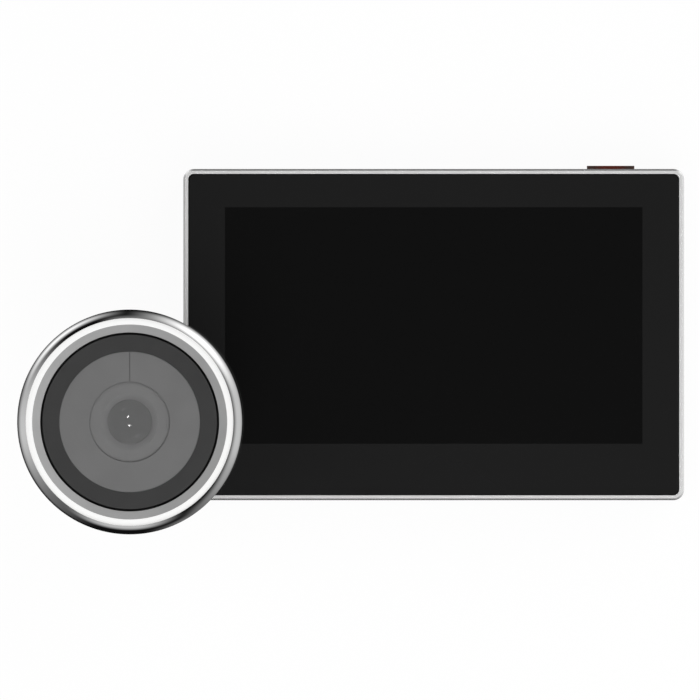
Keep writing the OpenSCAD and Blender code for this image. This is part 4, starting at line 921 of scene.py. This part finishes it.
# %% Baffle
TUBE_IN, TUBE_OUT, TUBE_FOOT = 3.25, 4.1, 8.2
IRIS_R, IRIS_FOOT = 2.0, 9.0
BAFFLE_R, BAFFLE_FOOT = 8.05, 10.95
BRIM_R, BRIM_FOOT, BRIM_TOP = 8.98, 12.52, 12.56
DISH_R, DISH_EASE, SEAT_TOP, SEAT_EASE = 6.4, 1.0, 12.38, 0.02
baffle_section = eased([
    (TUBE_IN, TUBE_FOOT, EASE), (TUBE_OUT, TUBE_FOOT, EASE), (TUBE_OUT, BAFFLE_FOOT, EASE),
    (BAFFLE_R, BAFFLE_FOOT, EASE), (BAFFLE_R, BRIM_FOOT, SHARP), (BRIM_R, BRIM_FOOT, SHARP),
    (BRIM_R, BRIM_TOP, SHARP), (DISH_R, BRIM_TOP, DISH_EASE), (SEAT_R, SEAT_TOP, SEAT_EASE),
    (SEAT_R, LENS_FOOT, EASE / 2), (IRIS_R, LENS_FOOT, EASE), (IRIS_R, IRIS_FOOT, EASE),
    (TUBE_IN, IRIS_FOOT, EASE),
])
skin("lens_baffle", turned(baffle_section, head, steps=192), "lens_barrel", material=baffle_grey)

# %% [markdown]
# ## Threaded barrel and extension
# The barrel and its extension carry a right-hand thread of 1 mm pitch. A real thread is a helix, and one
# surface gives it: the radius at height z and angle a dips by a V whose place is z / pitch - a / 360. The
# V fades out towards both ends, as where a die starts and stops. Heights here are taken from the floor.

# %% Thread surface
PITCH, THREAD_DEPTH, THREAD_R = 1.0, 0.4, 7.0
V_FLAT, RUN_OUT = 0.1, 0.8
ROWS_PER_PITCH, THREAD_STEPS = 8, 96
ground = head * (1, 1, 0)


def threaded(inner, outer_low, thread_low, thread_high, outer_high):
    """A threaded tube: rows of (radius, height) below and above the thread, whose rows dip by the V."""
    z = np.arange(thread_low, thread_high, PITCH / ROWS_PER_PITCH)
    rows = np.vstack([outer_low, np.stack([0 * z + THREAD_R, z], axis=-1), outer_high, inner])
    angle = np.linspace(0, 2 * np.pi, THREAD_STEPS, endpoint=False)
    phase = (rows[:, 1:] / PITCH - angle / (2 * np.pi)) % 1
    dip = np.clip((np.abs(2 * phase - 1) - V_FLAT) / (1 - 2 * V_FLAT), 0, 1)
    to_end = np.minimum(rows[:, 1] - thread_low, z[-1] - rows[:, 1])
    fade = np.clip(to_end / (RUN_OUT * PITCH), 0, 1)
    fade[:len(outer_low)] = fade[len(outer_low) + len(z):] = 0
    across = rows[:, :1] - THREAD_DEPTH * fade[:, None] * dip
    return round_axis(across, rows[:, 1], ground, THREAD_STEPS), [grid_quads(len(rows), THREAD_STEPS)]


# %% Extension and barrel
BORE_R, END_R, ROOT_R, END_RISE = 5.0, 6.45, 6.55, 0.04
SPIGOT_R, SPIGOT_TOP, SPIGOT_CHAMFER = 5.95, 33.0, 0.2
SOCKET_R, SOCKET_TOP = 6.0, 33.1
JOIN, THREAD_START, THREAD_TOP = 28.0, 0.5, 39.5
FLANGE_R, FLANGE_FOOT, FLANGE_TOP = 11.0, 43.0, 44.2
skin("extension", threaded(
    outer_low=[(BORE_R + SOFT, 0.0), (END_R, 0.0), (ROOT_R, END_RISE)],
    thread_low=THREAD_START, thread_high=JOIN - THREAD_START,
    outer_high=[(ROOT_R, JOIN - END_RISE), (END_R, JOIN)],
    inner=[
        (SPIGOT_R, JOIN), (SPIGOT_R, SPIGOT_TOP - SPIGOT_CHAMFER), (SPIGOT_R - SOFT, SPIGOT_TOP),
        (BORE_R + EASE, SPIGOT_TOP), (BORE_R, SPIGOT_TOP - EASE), (BORE_R, SOFT),
    ]), "extension_tube")
skin("threaded_stub", threaded(
    outer_low=[(SOCKET_R + EASE, JOIN), (END_R, JOIN), (ROOT_R, JOIN + END_RISE)],
    thread_low=JOIN + THREAD_START, thread_high=THREAD_TOP,
    outer_high=[(THREAD_R, THREAD_TOP + EASE), (THREAD_R, FLANGE_FOOT - EASE / 2)],
    inner=[
        (FLANGE_R, FLANGE_FOOT), (FLANGE_R, FLANGE_TOP - EASE), (FLANGE_R - EASE, FLANGE_TOP),
        (BORE_R + EASE, FLANGE_TOP), (BORE_R, FLANGE_TOP - EASE), (BORE_R, SOCKET_TOP),
        (SOCKET_R, SOCKET_TOP), (SOCKET_R, JOIN + EASE),
    ]), "barrel")

# %% [markdown]
# ## Clamp nut, washer and door seal
# The nut is tightened by hand inside the door, so it has twelve scallops for the fingers. Its outline is
# the smaller of a circle and the circles of the scallops, averaged over neighbours to ease its corners. A
# cone cuts its upper and lower edges back, as a lathe would. The nylon washer keeps it from marking the
# door, and the rubber seal under the head has ribs.

# %% Clamp nut
NUT_R, NUT_LOW, NUT_HIGH, NUT_BORE = 10.0, 32.6, 38.6, 7.06
NUT_EDGE = np.array([(9.0, 0.0), (9.1, 0.02), (9.95, 0.5), (NUT_R, 0.6)])  # radius, depth from the face
NUT_MOUTH = np.array([(7.6, 0.0), (7.5, 0.04), (NUT_BORE, 0.5)])
SCALLOPS, SCALLOP_R, SCALLOP_STEPS = 12, 1.2, 40
NEIGHBOURS = range(-2, 3)
steps = SCALLOPS * SCALLOP_STEPS
share = np.linspace(0, SCALLOPS, steps, endpoint=False)
from_scallop = (share - np.round(share)) * 2 * np.pi / SCALLOPS
scallop_out = NUT_R + SCALLOP_R / 3
chord = SCALLOP_R ** 2 - (scallop_out * np.sin(from_scallop)) ** 2
cut = scallop_out * np.cos(from_scallop) - np.sqrt(np.maximum(chord, 0))
outline = np.minimum(NUT_R, np.where(chord > 0, cut, NUT_R))
outline = np.mean([np.roll(outline, shift) for shift in NEIGHBOURS], axis=0)
rows = np.vstack([
    NUT_EDGE + (0, NUT_LOW), NUT_EDGE[::-1] * (1, -1) + (0, NUT_HIGH),
    NUT_MOUTH * (1, -1) + (0, NUT_HIGH), NUT_MOUTH[::-1] + (0, NUT_LOW),
])
nut_points = round_axis(np.minimum(rows[:, :1], outline), rows[:, 1], ground, steps)
skin("scalloped_nut", (nut_points, [grid_quads(len(rows), steps)]), "clamp_nut")

# %% Washer
WASHER_R, WASHER_TOP, WASHER_EASE = 9.8, 39.8, 0.25
washer_section = eased([
    (NUT_BORE, NUT_HIGH, SOFT), (WASHER_R, NUT_HIGH, WASHER_EASE),
    (WASHER_R, WASHER_TOP, WASHER_EASE), (NUT_BORE, WASHER_TOP, SOFT),
])
skin("nylon_washer", turned(washer_section, ground, steps=144), "clamp_washer")

# %% Ribbed door seal
SEAL_IN, SEAL_OUT, SEAL_EDGE, SEAL_TOP = 12.5, 23.0, 0.45, 1.0
SEAL_INSET, SEAL_STEPS = 0.2, 121
RIBS, RIB_HALF, RIB_RISE = np.array([14.2, 16.6, 19.0, 21.4]), 0.7, 0.3
across = np.linspace(SEAL_IN + SEAL_INSET, SEAL_OUT - SEAL_INSET, SEAL_STEPS)
nearest = np.abs(across[:, None] - RIBS).min(axis=1)
rib = np.sqrt(np.clip(1 - (nearest / RIB_HALF) ** 2, 0, 1))
under = np.stack([across, RIB_RISE * (1 - rib), 0 * across], axis=-1)
seal_section = eased(np.vstack([
    under,
    [(SEAL_OUT, SEAL_EDGE, EASE), (SEAL_OUT, SEAL_TOP, SOFT)],
    [(SEAL_IN, SEAL_TOP, SOFT), (SEAL_IN, SEAL_EDGE, EASE)],
]))
skin("door_seal", turned(seal_section, head, steps=192), "door_gasket")

# %% [markdown]
# ## Front glass, button and feet
# The glass is a plate with round corners and an eased edge, a hair below the frame's rim. The button is a
# bar in the frame's upper edge, 0.8 mm proud, with a flange inside that keeps it in. The feet are low
# rubber domes.

# %% Front glass
GLASS_CORNER = 1.02
low, high = extent("cover_glass")
width, depth = high[0] - low[0], high[1] - low[1]
points, blocks = plate(width, depth, GLASS_CORNER, low[2], high[2], FINE, steps=12)
skin("face_glass", (points + glass_middle * (1, 1, 0), blocks), "cover_glass")

# %% Button
BUTTON_W, BUTTON_CORNER, BUTTON_EASE = 10.8, 0.3, 0.04
FLANGE_OVER, FLANGE_T = 1.5, 1.0
low, high = extent("view_button")
depth = high[2] - low[2]


def upright(shape):
    """A plate stood on edge: what was up now points along Y, and its depth lies along Z."""
    points, blocks = shape
    return points[:, [0, 2, 1]] * (1, 1, -1) + button_middle * (1, 0, 1), blocks


bar = plate(BUTTON_W, depth, BUTTON_CORNER, low[1] + FLANGE_T - EASE, high[1], BUTTON_EASE, steps=8)
flange_w = BUTTON_W + 2 * FLANGE_OVER
flange = plate(flange_w, depth, BUTTON_CORNER, low[1], low[1] + FLANGE_T, EASE, steps=4)
skin("view_push", together([upright(bar), upright(flange)]), "view_button")

# %% Rubber feet
FOOT_R, FOOT_FLAT_R, FOOT_WALL = 4.0, 3.2, 0.45
FOOT_EASE_LOW, FOOT_EASE_SIDE = 0.5, 0.3
low, high = extent("rear_pads")
foot_section = eased([
    (0, 0, 0), (FOOT_FLAT_R, 0, FOOT_EASE_LOW), (FOOT_R, FOOT_WALL, FOOT_EASE_SIDE),
    (FOOT_R, high[2], EASE), (0, high[2], 0),
])
feet = [
    domed(foot_section, np.array([x, y, 0.0]), steps=64)
    for x in (low[0] + FOOT_R, high[0] - FOOT_R) for y in (low[1] + FOOT_R, high[1] - FOOT_R)
]
skin("rubber_feet", together(feet), "rear_pads")

# %% [markdown]
# ## Charging port
# The CAD port is an open steel shell. A charging port also has a tongue inside with a row of contacts on
# both faces, and it shows when the right side is looked at. The tongue is a small plate, and the contacts
# are smaller ones on it.

# %% Port tongue
TONGUE_L, TONGUE_W, TONGUE_T, TONGUE_CORNER = 5.2, 5.6, 0.7, 0.5
TONGUE_BACK = 0.9
low, high = extent("usb_port")
port = (low + high) / 2
tongue_x = low[0] + TONGUE_BACK + TONGUE_L / 2


def in_port(shape, x, y):
    """A shape moved to a place beside the middle of the port."""
    points, blocks = shape
    return points + (x, port[1] + y, port[2]), blocks


tongue = plate(TONGUE_L, TONGUE_W, TONGUE_CORNER, -TONGUE_T / 2, TONGUE_T / 2, SOFT, steps=6)
skin("port_tongue", in_port(tongue, tongue_x, 0), "usb_port", replace=False,
     material=FINISHES["black_plastic"])

# %% Port contacts
CONTACT_L, CONTACT_W, CONTACT_T = 3.2, 0.28, 0.06
CONTACT_CORNER, CONTACT_EASE = 0.05, 0.02
CONTACT_AHEAD, CONTACT_ROW = 0.6, np.linspace(-2.2, 2.2, 8)
contact_gold = finish(
    "contact_gold", drawn_lines, 6000, (0.62, 0.42, 0.14), (0.72, 0.5, 0.19), (0.18, 0.3), 0.001,
    Metallic=1.0)


def contact(face):
    """A thin plate half sunk into a face of the tongue, at that face's height."""
    low, high = face - CONTACT_T / 2, face + CONTACT_T / 2
    return plate(CONTACT_L, CONTACT_W, CONTACT_CORNER, low, high, CONTACT_EASE, steps=2)


contacts = [
    in_port(contact(face), tongue_x + CONTACT_AHEAD, y)
    for face in (-TONGUE_T / 2, TONGUE_T / 2) for y in CONTACT_ROW
]
skin("port_contacts", together(contacts), "usb_port", replace=False, material=contact_gold)
